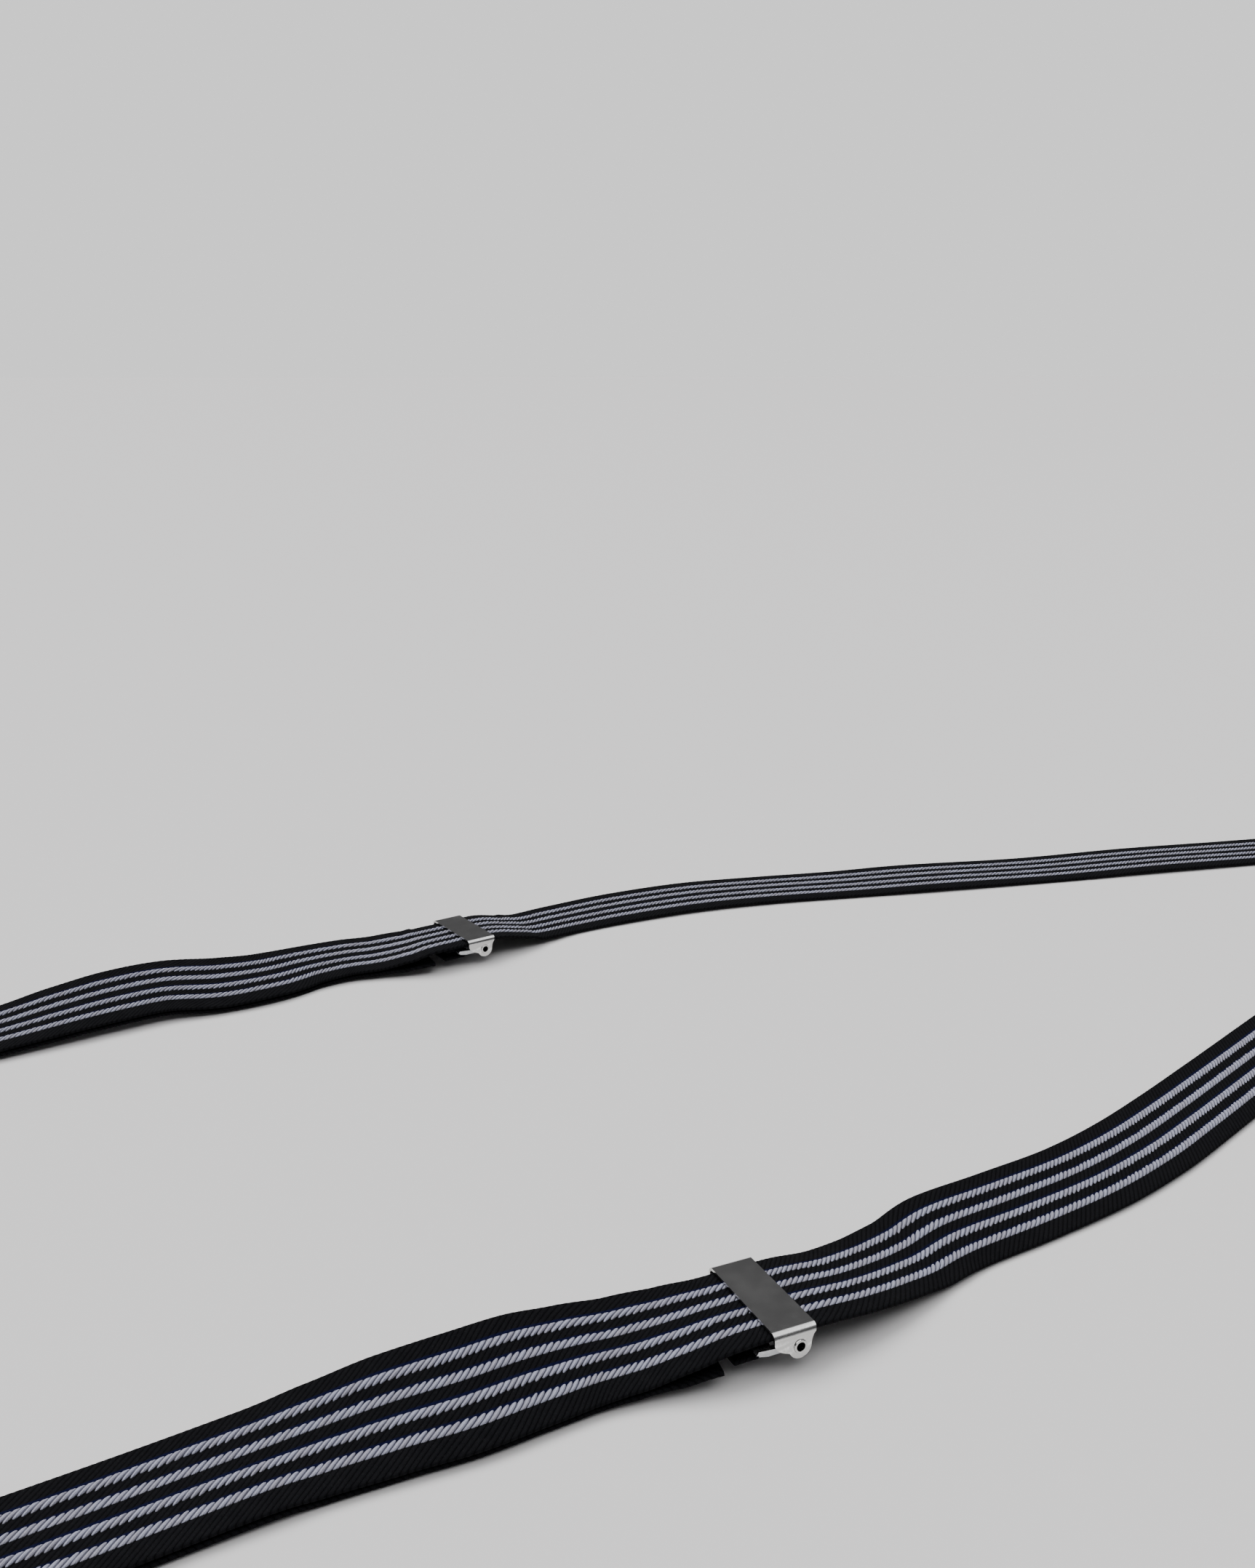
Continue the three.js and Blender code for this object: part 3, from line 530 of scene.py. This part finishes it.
def webbingCords(name, path, seed, start, stop):
    draw = np.random.default_rng(seed)
    pitch, half, lean = weave["pitch"], weave["cordHalf"], weave["slant"] * path["way"]
    twist, top = cordTwist, weave["thickness"] / 2
    lobeRows, lobeSides = np.array(twist["rows"]), np.array(twist["sides"])
    count = int((stop - start) / pitch)
    verts, uvs, faces, base = [], [], [], 0
    ring = len(lobeSides) + 2
    for k, centre in enumerate(weave["cordCentres"]):
        first = math.ceil((start - lean * centre) / pitch)
        lobe = first + np.arange(count)
        big = draw.normal(1.0, twist["heightVary"], count)[:, None]
        scallop = draw.normal(1.0, twist["scallopVary"], count)[:, None]
        slip = draw.normal(0.0, twist["slipVary"], count)[:, None]
        row = (lobe[:, None] + lobeRows) * pitch
        bump = (1 - np.abs(2 * lobeRows - 1) ** twist["fullness"])[None, :]
        swell = 2 * bump - 1
        upper = half + twist["upperBulge"][k % 2] * swell * scallop
        lower = half + twist["lowerBulge"][k % 2] * swell * scallop
        shape = (count, len(lobeRows))
        spread = [np.broadcast_to(v, shape).reshape(-1, 1) for v in (row, bump, upper, lower)]
        row, bump, upper, lower = spread
        big, slip = (np.repeat(v, len(lobeRows), 0) for v in (big, slip))
        t = lobeSides[None, :]
        side = np.where(t > 0, t * upper, t * lower)
        # the side where each twist shows two yarns
        plain = (0.5 - 0.5 * t) if k % 2 else (0.5 + 0.5 * t)
        second = np.exp(-((np.mod(row / pitch, 1.0) - 0.5) / twist["secondReach"]) ** 2)
        lift = twist["lowest"] + (1 - twist["lowest"]) * bump * big
        lift = lift * (1 - twist["secondYarn"] * second * plain ** 1.5)
        crown = 1 - np.abs(t) ** twist["crown"]
        rise = top - twist["sunk"] + (twist["sunk"] + weave["cordHeight"] * lift) * crown
        curl = twist["curl"] * (t ** 2 - 0.3)
        along = row + lean * (centre + side) + slip * (1 - t ** 2) - path["way"] * curl
        under = np.full((len(row), 2), top - twist["root"])
        sideAll = np.hstack([side, side[:, -1:] * twist["tuck"], side[:, :1] * twist["tuck"]])
        riseAll = np.hstack([rise, under])
        alongAll = np.hstack([along, along[:, -1:], along[:, :1]])
        alongAll = np.clip(alongAll, 0, path["length"])
        spots = onPath(path, alongAll, centre + sideAll, riseAll).reshape(-1, 3)
        spots[:, 2] = np.maximum(spots[:, 2], 0.0)      # pressed flat where the face lies downwards
        verts.append(spots)
        uvs.append(np.stack([sideAll, np.broadcast_to(row, sideAll.shape)], -1).reshape(-1, 2))
        index = base + np.arange(len(row) * ring).reshape(len(row), ring)
        faces += ringQuads(index)
        faces += [index[0, ::-1].tolist(), index[-1].tolist()]
        base += len(row) * ring
    return meshPiece(name, np.vstack(verts), faces, np.vstack(uvs), paleCord)


def makeStrap(name, node, seed):
    path = strapPath(name)
    ground = webbingGround(name + "StrapWebbing", path)
    first, last = cordTwist["strapEnds"]
    cords = webbingCords(name + "StrapCords", path, seed, first, path["length"] - last)
    for piece in (ground, cords):
        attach(piece, "harness")
    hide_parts(node)
    print(name, "strap woven,", round(path["length"]), "mm")


makeStrap("left", "left_front_strap", 11)
makeStrap("right", "right_front_strap", 12)
makeStrap("rear", "rear_strap", 13)

# the webbing's sewn end: under the lever's bar, up through its slot and back over it
endLoop = {
    "width": 21.8,
    "lower": (-11.8, 0.62), "upper": (-11.4, 3.1), "turn": -5.75,
    "runPoints": 12, "bendPoints": 17,
}


def makeStrapEnd(side, seed):
    place, loop = layout[side], endLoop
    radius = (loop["upper"][1] - loop["lower"][1]) / 2
    middle = (loop["upper"][1] + loop["lower"][1]) / 2
    bend = np.linspace(-math.pi / 2, math.pi / 2, loop["bendPoints"])
    run = loop["runPoints"]
    x = np.r_[np.linspace(loop["lower"][0], loop["turn"], run)[:-1], loop["turn"] + radius * np.cos(bend),
              np.linspace(loop["turn"], loop["upper"][0], run)[1:]]
    z = np.r_[np.full(run - 1, loop["lower"][1]), middle + radius * np.sin(bend),
              np.full(run - 1, loop["upper"][1])]
    turned = np.array(Euler([math.radians(a) for a in place["turns"]]).to_matrix())
    centre = np.column_stack([x, 0 * x, z]) @ turned.T + (place["x"], place["y"], place["lift"])
    across = np.tile(turned[:, 1], (len(x), 1))
    path = evenPath(centre, across, np.ones(len(x)))
    path["way"] = 1
    path["turn"] = None
    path["centre"] = placed(path["centre"])
    ground = webbingGround(side + "EndLoopWebbing", path, loop["width"])
    first, last = cordTwist["loopEnds"]
    cords = webbingCords(side + "EndLoopCords", path, seed, first, path["length"] - last)
    for piece in (ground, cords):
        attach(piece, side + "_lever")
    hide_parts(side + "_strap_end")


makeStrapEnd("left", 21)
makeStrapEnd("right", 22)
print("strap ends looped")

# colours and roughness ranges of the hard finishes
chromeLook = {"dark": (0.52, 0.515, 0.505), "light": (0.60, 0.595, 0.58), "worn": (0.86, 0.86, 0.85),
              "lint": (0.42, 0.42, 0.43), "roughness": (0.11, 0.2)}
steelLook = {"dark": (0.40, 0.41, 0.43), "light": (0.55, 0.56, 0.57), "worn": (0.78, 0.78, 0.78),
             "roughness": (0.24, 0.4)}
plasticLook = {"dark": (0.70, 0.69, 0.64), "light": (0.80, 0.79, 0.75), "lint": (0.45, 0.43, 0.40),
               "roughness": (0.42, 0.6)}


def makeChrome():
    material, tree, surface = startMaterial("satinChrome", Metallic=1.0, Roughness=0.16)
    grain = effect(tree, "fineGrain", Scale=2400.0, Contrast=0.8)
    wear = effect(tree, "edgeWear", Start=0.53, End=0.66, Patchiness=1500.0)
    lint = effect(tree, "settledLint", Amount=0.12, Scale=2200.0)
    base = tint(tree, grain["Mottle"], chromeLook["dark"], chromeLook["light"])
    base = tint(tree, wear["Mask"], base, chromeLook["worn"])
    base = tint(tree, lint["Mask"], base, chromeLook["lint"])
    tree.links.new(base, surface.inputs["Base Color"])
    rough = remap(tree, grain["Mottle"], 0.3, 0.7, *chromeLook["roughness"])
    rough = calc(tree, "ADD", rough, calc(tree, "MULTIPLY", lint["Mask"], 0.3))
    tree.links.new(rough, surface.inputs["Roughness"])
    bumpInto(tree, surface, grain["Grain"], 0.000004)
    return material


def makeSteel():
    material, tree, surface = startMaterial("pressedSteel", Metallic=1.0, Roughness=0.32)
    grain = effect(tree, "fineGrain", Scale=1800.0, Contrast=1.2)
    wear = effect(tree, "edgeWear", Start=0.52, End=0.64, Patchiness=1200.0)
    base = tint(tree, grain["Mottle"], steelLook["dark"], steelLook["light"])
    base = tint(tree, wear["Mask"], base, steelLook["worn"])
    tree.links.new(base, surface.inputs["Base Color"])
    rough = remap(tree, grain["Grain"], 0.3, 0.7, *steelLook["roughness"])
    tree.links.new(rough, surface.inputs["Roughness"])
    bumpInto(tree, surface, grain["Grain"], 0.00001)
    return material


def makeMilkyPlastic():
    material, tree, surface = startMaterial("milkyPlastic", Roughness=0.5, IOR=1.46, Subsurface_Weight=0.25)
    surface.inputs["Subsurface Scale"].default_value = 0.0015
    grain = effect(tree, "fineGrain", Scale=1500.0, Contrast=1.0)
    lint = effect(tree, "settledLint", Amount=0.4, Scale=1200.0)
    base = tint(tree, grain["Mottle"], plasticLook["dark"], plasticLook["light"])
    base = tint(tree, lint["Mask"], base, plasticLook["lint"])
    tree.links.new(base, surface.inputs["Base Color"])
    rough = remap(tree, grain["Grain"], 0.3, 0.7, *plasticLook["roughness"])
    tree.links.new(rough, surface.inputs["Roughness"])
    bumpInto(tree, surface, grain["Grain"], 0.00003)
    return material


def makeLeatherette():
    material, tree, surface = startMaterial("grainedLeatherette", Roughness=0.55, Specular_IOR_Level=0.28)
    where = addNode(tree, "ShaderNodeTexCoord").outputs["Object"]
    cells = addNode(tree, "ShaderNodeTexVoronoi", feature="DISTANCE_TO_EDGE")
    warp = addNode(tree, "ShaderNodeMix", data_type="VECTOR")
    wander = addNode(tree, "ShaderNodeTexNoise")
    tree.links.new(where, wander.inputs["Vector"])
    wander.inputs["Scale"].default_value = 420.0
    warp.inputs["Factor"].default_value = 0.0012
    tree.links.new(where, warp.inputs[4])
    tree.links.new(wander.outputs["Color"], warp.inputs[5])
    tree.links.new(warp.outputs[1], cells.inputs["Vector"])
    cells.inputs["Scale"].default_value = 1150.0
    pebble = remap(tree, cells.outputs["Distance"], 0.0, 0.22)
    grain = effect(tree, "fineGrain", Scale=2600.0, Contrast=1.0)
    wear = effect(tree, "edgeWear", Start=0.51, End=0.60, Patchiness=800.0)
    lint = effect(tree, "settledLint", Amount=0.08, Scale=1700.0)
    # painted shade: the creases between the pebbles are painted darker than their tops
    base = tint(tree, pebble, (0.004, 0.004, 0.004), (0.014, 0.0135, 0.013))
    base = tint(tree, wear["Mask"], base, (0.035, 0.033, 0.032))
    base = tint(tree, lint["Mask"], base, (0.16, 0.16, 0.16))
    tree.links.new(base, surface.inputs["Base Color"])
    tree.links.new(remap(tree, grain["Mottle"], 0.3, 0.7, 0.42, 0.62), surface.inputs["Roughness"])
    rise = calc(tree, "ADD", pebble, calc(tree, "MULTIPLY", grain["Grain"], 0.25))
    bumpInto(tree, surface, rise, 0.00012)
    return material


def makeThread():
    material, tree, surface = startMaterial("waxedThread", Roughness=0.55, Sheen_Weight=0.1)
    row = weaveCoordinates(tree)[1]
    twist = effect(tree, "yarnRibs", Row=row, Pitch=0.35, Yarns=2.0, Sharpness=2.0)
    grain = effect(tree, "fineGrain", Scale=5000.0, Contrast=1.0)
    # painted shade: the grooves between the twisted plies are painted darker
    base = tint(tree, twist["Shaded Groove"], (0.16, 0.165, 0.18), (0.05, 0.05, 0.06))
    base = tint(tree, calc(tree, "MULTIPLY", grain["Grain"], 0.3), base, (0.25, 0.25, 0.27))
    tree.links.new(base, surface.inputs["Base Color"])
    tree.links.new(remap(tree, grain["Grain"], 0.3, 0.7, 0.45, 0.65), surface.inputs["Roughness"])
    bumpInto(tree, surface, twist["Height"], 0.00005)
    return material


finishes = {
    "chrome": makeChrome(),
    "steel": makeSteel(),
    "grip_plastic": makeMilkyPlastic(),
}
leatherette = makeLeatherette()
waxedThread = makeThread()
print("metal, plastic and leatherette mixed")


# which finish and softened edge each kind of CAD piece gets, by the end of its name
fittings = {
    "slide_plate": ("chrome", 0.10), "slide_lever": ("steel", 0.06), "slide_rivet_outer": ("chrome", 0.05),
    "slide_rivet_inner": ("chrome", 0.05), "clip_base": ("chrome", 0.18), "clip_cover": ("chrome", 0.16),
    "clip_pin": ("steel", 0.10), "clip_spring": ("steel", 0.0), "clip_lower_grip": ("grip_plastic", 0.09),
    "clip_upper_grip": ("grip_plastic", 0.09),
}


def dressFittings():
    for name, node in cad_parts.items():
        kind = next((k for k in fittings if name.endswith(k)), None)
        if kind is None:
            continue
        finish, softened = fittings[kind]
        for holder in node.material_slots:
            holder.material = finishes[finish]
        weld = node.modifiers.new("closeSeams", "WELD")
        weld.merge_threshold = 1e-6
        if softened:
            bevel = node.modifiers.new("softEdges", "BEVEL")
            bevel.width = softened * mm
            bevel.segments = 2
            bevel.limit_method = "ANGLE"
            bevel.angle_limit = math.radians(32)
            bevel.harden_normals = True
            bevel.miter_outer = "MITER_ARC"


dressFittings()
print("metal fittings dressed")


# millimetres, in the routes' own coordinates
patchPlan = {
    "nose": 386.0, "tail": 452.0, "arm": 31.0, "end": 16.0,
    "liningTop": 1.0, "liningInset": 0.4, "liningRound": 0.6,
    "faceThickness": 1.1, "faceRound": 0.9,
    "faceLow": 2.15, "faceRise": 0.75,          # the face stands higher where a strap lies under it
    "coverReach": 15.5, "coverFade": 4.0,
    "wave": 0.06,
    "seamInset": 2.4, "seamReach": 0.55, "seamDip": 0.22,
    "grid": 95,
}


def bendCurve(a, b, c, count):
    t = np.linspace(0, 1, count)[:, None]
    a, b, c = (np.asarray(p, float) for p in (a, b, c))
    return a * (1 - t) ** 2 + 2 * b * t * (1 - t) + c * t ** 2


def patchEdges(inset):
    nose, tail = patchPlan["nose"] + inset, patchPlan["tail"] - inset
    arm, end = patchPlan["arm"] - inset, patchPlan["end"] - inset
    notch = np.vstack([bendCurve((nose - 2, arm), (nose + 4, 4), (nose + 4, 0), 30),
                       bendCurve((nose + 4, 0), (nose + 4, -4), (nose - 2, -arm), 30)[1:]])
    side = np.vstack([bendCurve((nose - 2, arm), (nose + 10, arm - 1), (nose + 22, arm - 9), 24),
                      bendCurve((nose + 22, arm - 9), (nose + 34, end + 2), (nose + 44, end), 24)[1:],
                      bendCurve((tail - 3, end), (tail, end), (tail, end - 3), 12)])
    rim = np.vstack([side, side[::-1] * (1, -1)])
    return notch, rim


def strapCover(x, y):
    cover = np.zeros_like(x)
    for name in ("left", "right", "rear"):
        route = np.asarray(routes[name], float)[:, :2]
        route = throughKnots(route, 0.5, 12)
        near = (route[:, 0] > 360) & (route[:, 0] < 475)
        spots = route[near]
        away = np.min(np.hypot(x[..., None] - spots[:, 0], y[..., None] - spots[:, 1]), axis=-1)
        t = np.clip((patchPlan["coverReach"] - away) / patchPlan["coverFade"], 0, 1)
        cover = np.maximum(cover, t * t * (3 - 2 * t))
    return cover


def distanceToLoop(x, y, loop):
    start, end = loop, np.roll(loop, -1, axis=0)
    span = end - start
    squared = np.maximum(np.sum(span ** 2, axis=1), 1e-12)
    px, py = x[..., None] - start[:, 0], y[..., None] - start[:, 1]
    t = np.clip((px * span[:, 0] + py * span[:, 1]) / squared, 0, 1)
    return np.min(np.hypot(px - t * span[:, 0], py - t * span[:, 1]), axis=-1)


def faceHeight(x, y):
    return patchPlan["faceLow"] + patchPlan["faceRise"] * strapCover(x, y)


def liningHeight(x, y):
    return np.zeros_like(x)


def patchSheet(name, inset, floorOf, thick, roundness, top):
    notch, rim = patchEdges(inset)
    loop = np.vstack([rim, notch[::-1][1:-1]])
    arm = patchPlan["arm"] - inset
    grid = patchPlan["grid"]
    rows = arm * np.sin(np.linspace(-math.pi / 2, math.pi / 2, grid)) * 0.9995
    order = np.argsort(notch[:, 1])
    left = np.interp(rows, notch[order, 1], notch[order, 0])
    order = np.argsort(rim[:, 1])
    right = np.interp(rows, rim[order, 1], rim[order, 0])
    share = 0.5 - 0.5 * np.cos(np.linspace(0, math.pi, grid))
    x = left[:, None] + (right - left)[:, None] * share
    y = np.repeat(rows[:, None], len(share), 1)
    edge = distanceToLoop(x, y, loop)
    t = np.clip(1 - edge / roundness, 0, 1)
    softened = np.sqrt(np.maximum(1 - t ** 2, 0))
    base = floorOf(x, y)
    middle = base + thick / 2
    upper, lower = middle + thick / 2 * softened, middle - thick / 2 * softened
    if top:
        wave = np.sin(x * 0.9 + 2 * np.sin(y * 0.21)) * np.sin(y * 0.7) * np.clip(edge / 4, 0, 1)
        wave = patchPlan["wave"] * wave
        fromSeam = (edge - patchPlan["seamInset"]) / patchPlan["seamReach"]
        stitch = patchPlan["seamDip"] * np.exp(-fromSeam ** 2)      # the seam pulls the face down
        upper = upper + wave - stitch
    n, m = x.shape
    verts = np.vstack([np.column_stack([x.ravel(), y.ravel(), z.ravel()]) for z in (upper, lower)])
    index = np.arange(n * m).reshape(n, m)
    quads = np.stack([index[:-1, :-1], index[:-1, 1:], index[1:, 1:], index[1:, :-1]], -1).reshape(-1, 4)
    faces = quads.tolist() + (quads[:, ::-1] + n * m).tolist()
    for ends in (index[0], index[-1], index[:, 0], index[:, -1]):
        faces += np.column_stack([ends[:-1], ends[1:], ends[1:] + n * m, ends[:-1] + n * m]).tolist()
    piece = meshPiece(name, placed(verts), faces, None, leatherette)
    mergeClose(piece.data, 1e-5, 1e-6, outward=True)
    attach(piece, "harness")
    return piece


patchFace = patchSheet("patchFaceLeather", 0.0, faceHeight, patchPlan["faceThickness"],
                       patchPlan["faceRound"], True)
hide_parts("back_patch_face")
patchLining = patchSheet("patchLiningLeather", patchPlan["liningInset"], liningHeight,
                         patchPlan["liningTop"], patchPlan["liningRound"], False)
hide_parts("back_patch_lining")
print("back patch cut")


stitching = {
    "thread": 0.24, "length": 2.5, "gap": 0.8, "dip": 0.55, "points": 9, "sides": 8,
    "tackRows": (654.0, 657.5), "tackFrom": -10.4, "tackTo": 11.2, "tackHeight": 3.35, "tackPoints": 20,
}


def stitchRow(line, closed):
    line = np.asarray(line, float)
    if closed:
        line = np.vstack([line, line[:1]])
    run = np.r_[0, np.cumsum(np.linalg.norm(np.diff(line, axis=0), axis=1))]
    step = stitching["length"] + stitching["gap"]
    count = max(1, int(run[-1] / step))
    step = run[-1] / count
    made = []
    for i in range(count):
        at = np.linspace(i * step + stitching["gap"] / 2, (i + 1) * step - stitching["gap"] / 2,
                         stitching["points"])
        made.append(np.column_stack([np.interp(at, run, line[:, k]) for k in range(3)]))
    return made


def threadPiece(name, stitches):
    radius, sides = stitching["thread"], stitching["sides"]
    verts, uvs, faces = [], [], []
    spin = np.linspace(0, 2 * math.pi, sides, endpoint=False)
    for stitch in stitches:
        heading = np.gradient(stitch, axis=0)
        heading /= np.linalg.norm(heading, axis=1)[:, None]
        side = np.cross(heading, (0, 0, 1))
        side /= np.linalg.norm(side, axis=1)[:, None]
        up = np.cross(side, heading)
        t = np.linspace(-1, 1, len(stitch))
        swell = radius * np.sqrt(np.maximum(1 - np.abs(t) ** 5, 0.02))
        dip = -stitching["dip"] * np.abs(t) ** 4
        base = len(verts)
        for i in range(len(stitch)):
            for a in spin:
                outward = side[i] * swell[i] * math.cos(a)
                verts.append(stitch[i] + outward + up[i] * (swell[i] * math.sin(a) + dip[i]))
                uvs.append((a, i * 0.3 + a * 0.06))
        index = base + np.arange(len(stitch) * sides).reshape(-1, sides)
        faces += ringQuads(index)
        faces += [index[0, ::-1].tolist(), index[-1].tolist()]
    piece = meshPiece(name, placed(verts), faces, np.asarray(uvs), waxedThread)
    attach(piece, "harness")
    return piece


def patchSeam():
    notch, rim = patchEdges(patchPlan["seamInset"])
    loop = np.vstack([rim[:-1], notch[::-1][:-1]])
    height = faceHeight(loop[:, 0], loop[:, 1]) + patchPlan["faceThickness"] - 0.1
    return threadPiece("patchSeamThread", stitchRow(np.column_stack([loop, height]), True))


def rearTack():
    rows = []
    count = stitching["tackPoints"]
    y = np.linspace(stitching["tackFrom"], stitching["tackTo"], count)
    for x in stitching["tackRows"]:
        line = np.column_stack([np.full(count, x), y, np.full(count, stitching["tackHeight"])])
        rows += stitchRow(line, False)
    return threadPiece("rearTackThread", rows)


patchSeam()
rearTack()
print("seams stitched")


studio = {
    "floor": (0.74, 0.73, 0.72),
    "floorGrain": (0.77, 0.76, 0.75),
    "sunStrength": 2.0,
    "sunSpread": 38.0,
    "sunFrom": (-0.35, 0.55, 1.0),
    "floorReach": 60.0,
    "floorHeight": -0.0001,
    "skyEnds": ((0.55, 0.55, 0.55, 1), (1.9, 1.9, 1.92, 1)),
    "skyStops": ((0.53, 0.50), (0.59, 0.11), (0.84, 0.15), (0.89, 1.9)),   # height in the sky, brightness
    "backdrop": (1.08, 1.08, 1.08, 1),
}


def makeFloor():
    mesh = bpy.data.meshes.new("floor")
    reach = studio["floorReach"]
    corners = [(-reach, -reach), (reach, -reach), (reach, reach), (-reach, reach)]
    mesh.from_pydata([(x, y, studio["floorHeight"]) for x, y in corners], [], [(0, 1, 2, 3)])
    floor = addObject("floor", mesh)
    material, tree, surface = startMaterial("paleFloor", Roughness=0.85)
    grain = effect(tree, "fineGrain", Scale=260.0, Contrast=0.5)
    base = tint(tree, grain["Grain"], studio["floor"], studio["floorGrain"])
    tree.links.new(base, surface.inputs["Base Color"])
    mesh.materials.append(material)


def makeWorld():
    world = bpy.data.worlds.new("studioWorld")
    bpy.context.scene.world = world
    world.use_nodes = True
    tree = world.node_tree
    tree.nodes.clear()
    where = addNode(tree, "ShaderNodeTexCoord").outputs["Generated"]
    split = addNode(tree, "ShaderNodeSeparateXYZ")
    tree.links.new(where, split.inputs[0])
    ramp = addNode(tree, "ShaderNodeValToRGB")
    fromBelow = calc(tree, "ADD", calc(tree, "MULTIPLY", split.outputs["Z"], 0.5), 0.5)
    tree.links.new(fromBelow, ramp.inputs["Fac"])
    stops = ramp.color_ramp.elements
    for i, colour in enumerate(studio["skyEnds"]):
        stops[i].position, stops[i].color = float(i), colour
    for spot, level in studio["skyStops"]:
        stop = stops.new(spot)
        stop.color = (level, level, level * 1.03, 1)
    light = addNode(tree, "ShaderNodeBackground")
    light.inputs["Strength"].default_value = 1.0
    tree.links.new(ramp.outputs["Color"], light.inputs["Color"])
    plain = addNode(tree, "ShaderNodeBackground")
    plain.inputs["Color"].default_value = studio["backdrop"]
    seen = addNode(tree, "ShaderNodeLightPath").outputs["Is Camera Ray"]
    mix = addNode(tree, "ShaderNodeMixShader")
    tree.links.new(seen, mix.inputs[0])
    tree.links.new(light.outputs[0], mix.inputs[1])
    tree.links.new(plain.outputs[0], mix.inputs[2])
    out = addNode(tree, "ShaderNodeOutputWorld")
    tree.links.new(mix.outputs[0], out.inputs[0])


def makeSun():
    data = bpy.data.lights.new("softKey", "SUN")
    data.energy = studio["sunStrength"]
    data.angle = math.radians(studio["sunSpread"])
    sun = addObject("softKey", data)
    sun.rotation_mode = "QUATERNION"
    sun.rotation_quaternion = Vector(studio["sunFrom"]).to_track_quat("Z", "Y")


makeFloor()
makeWorld()
makeSun()
print("floor and light set")
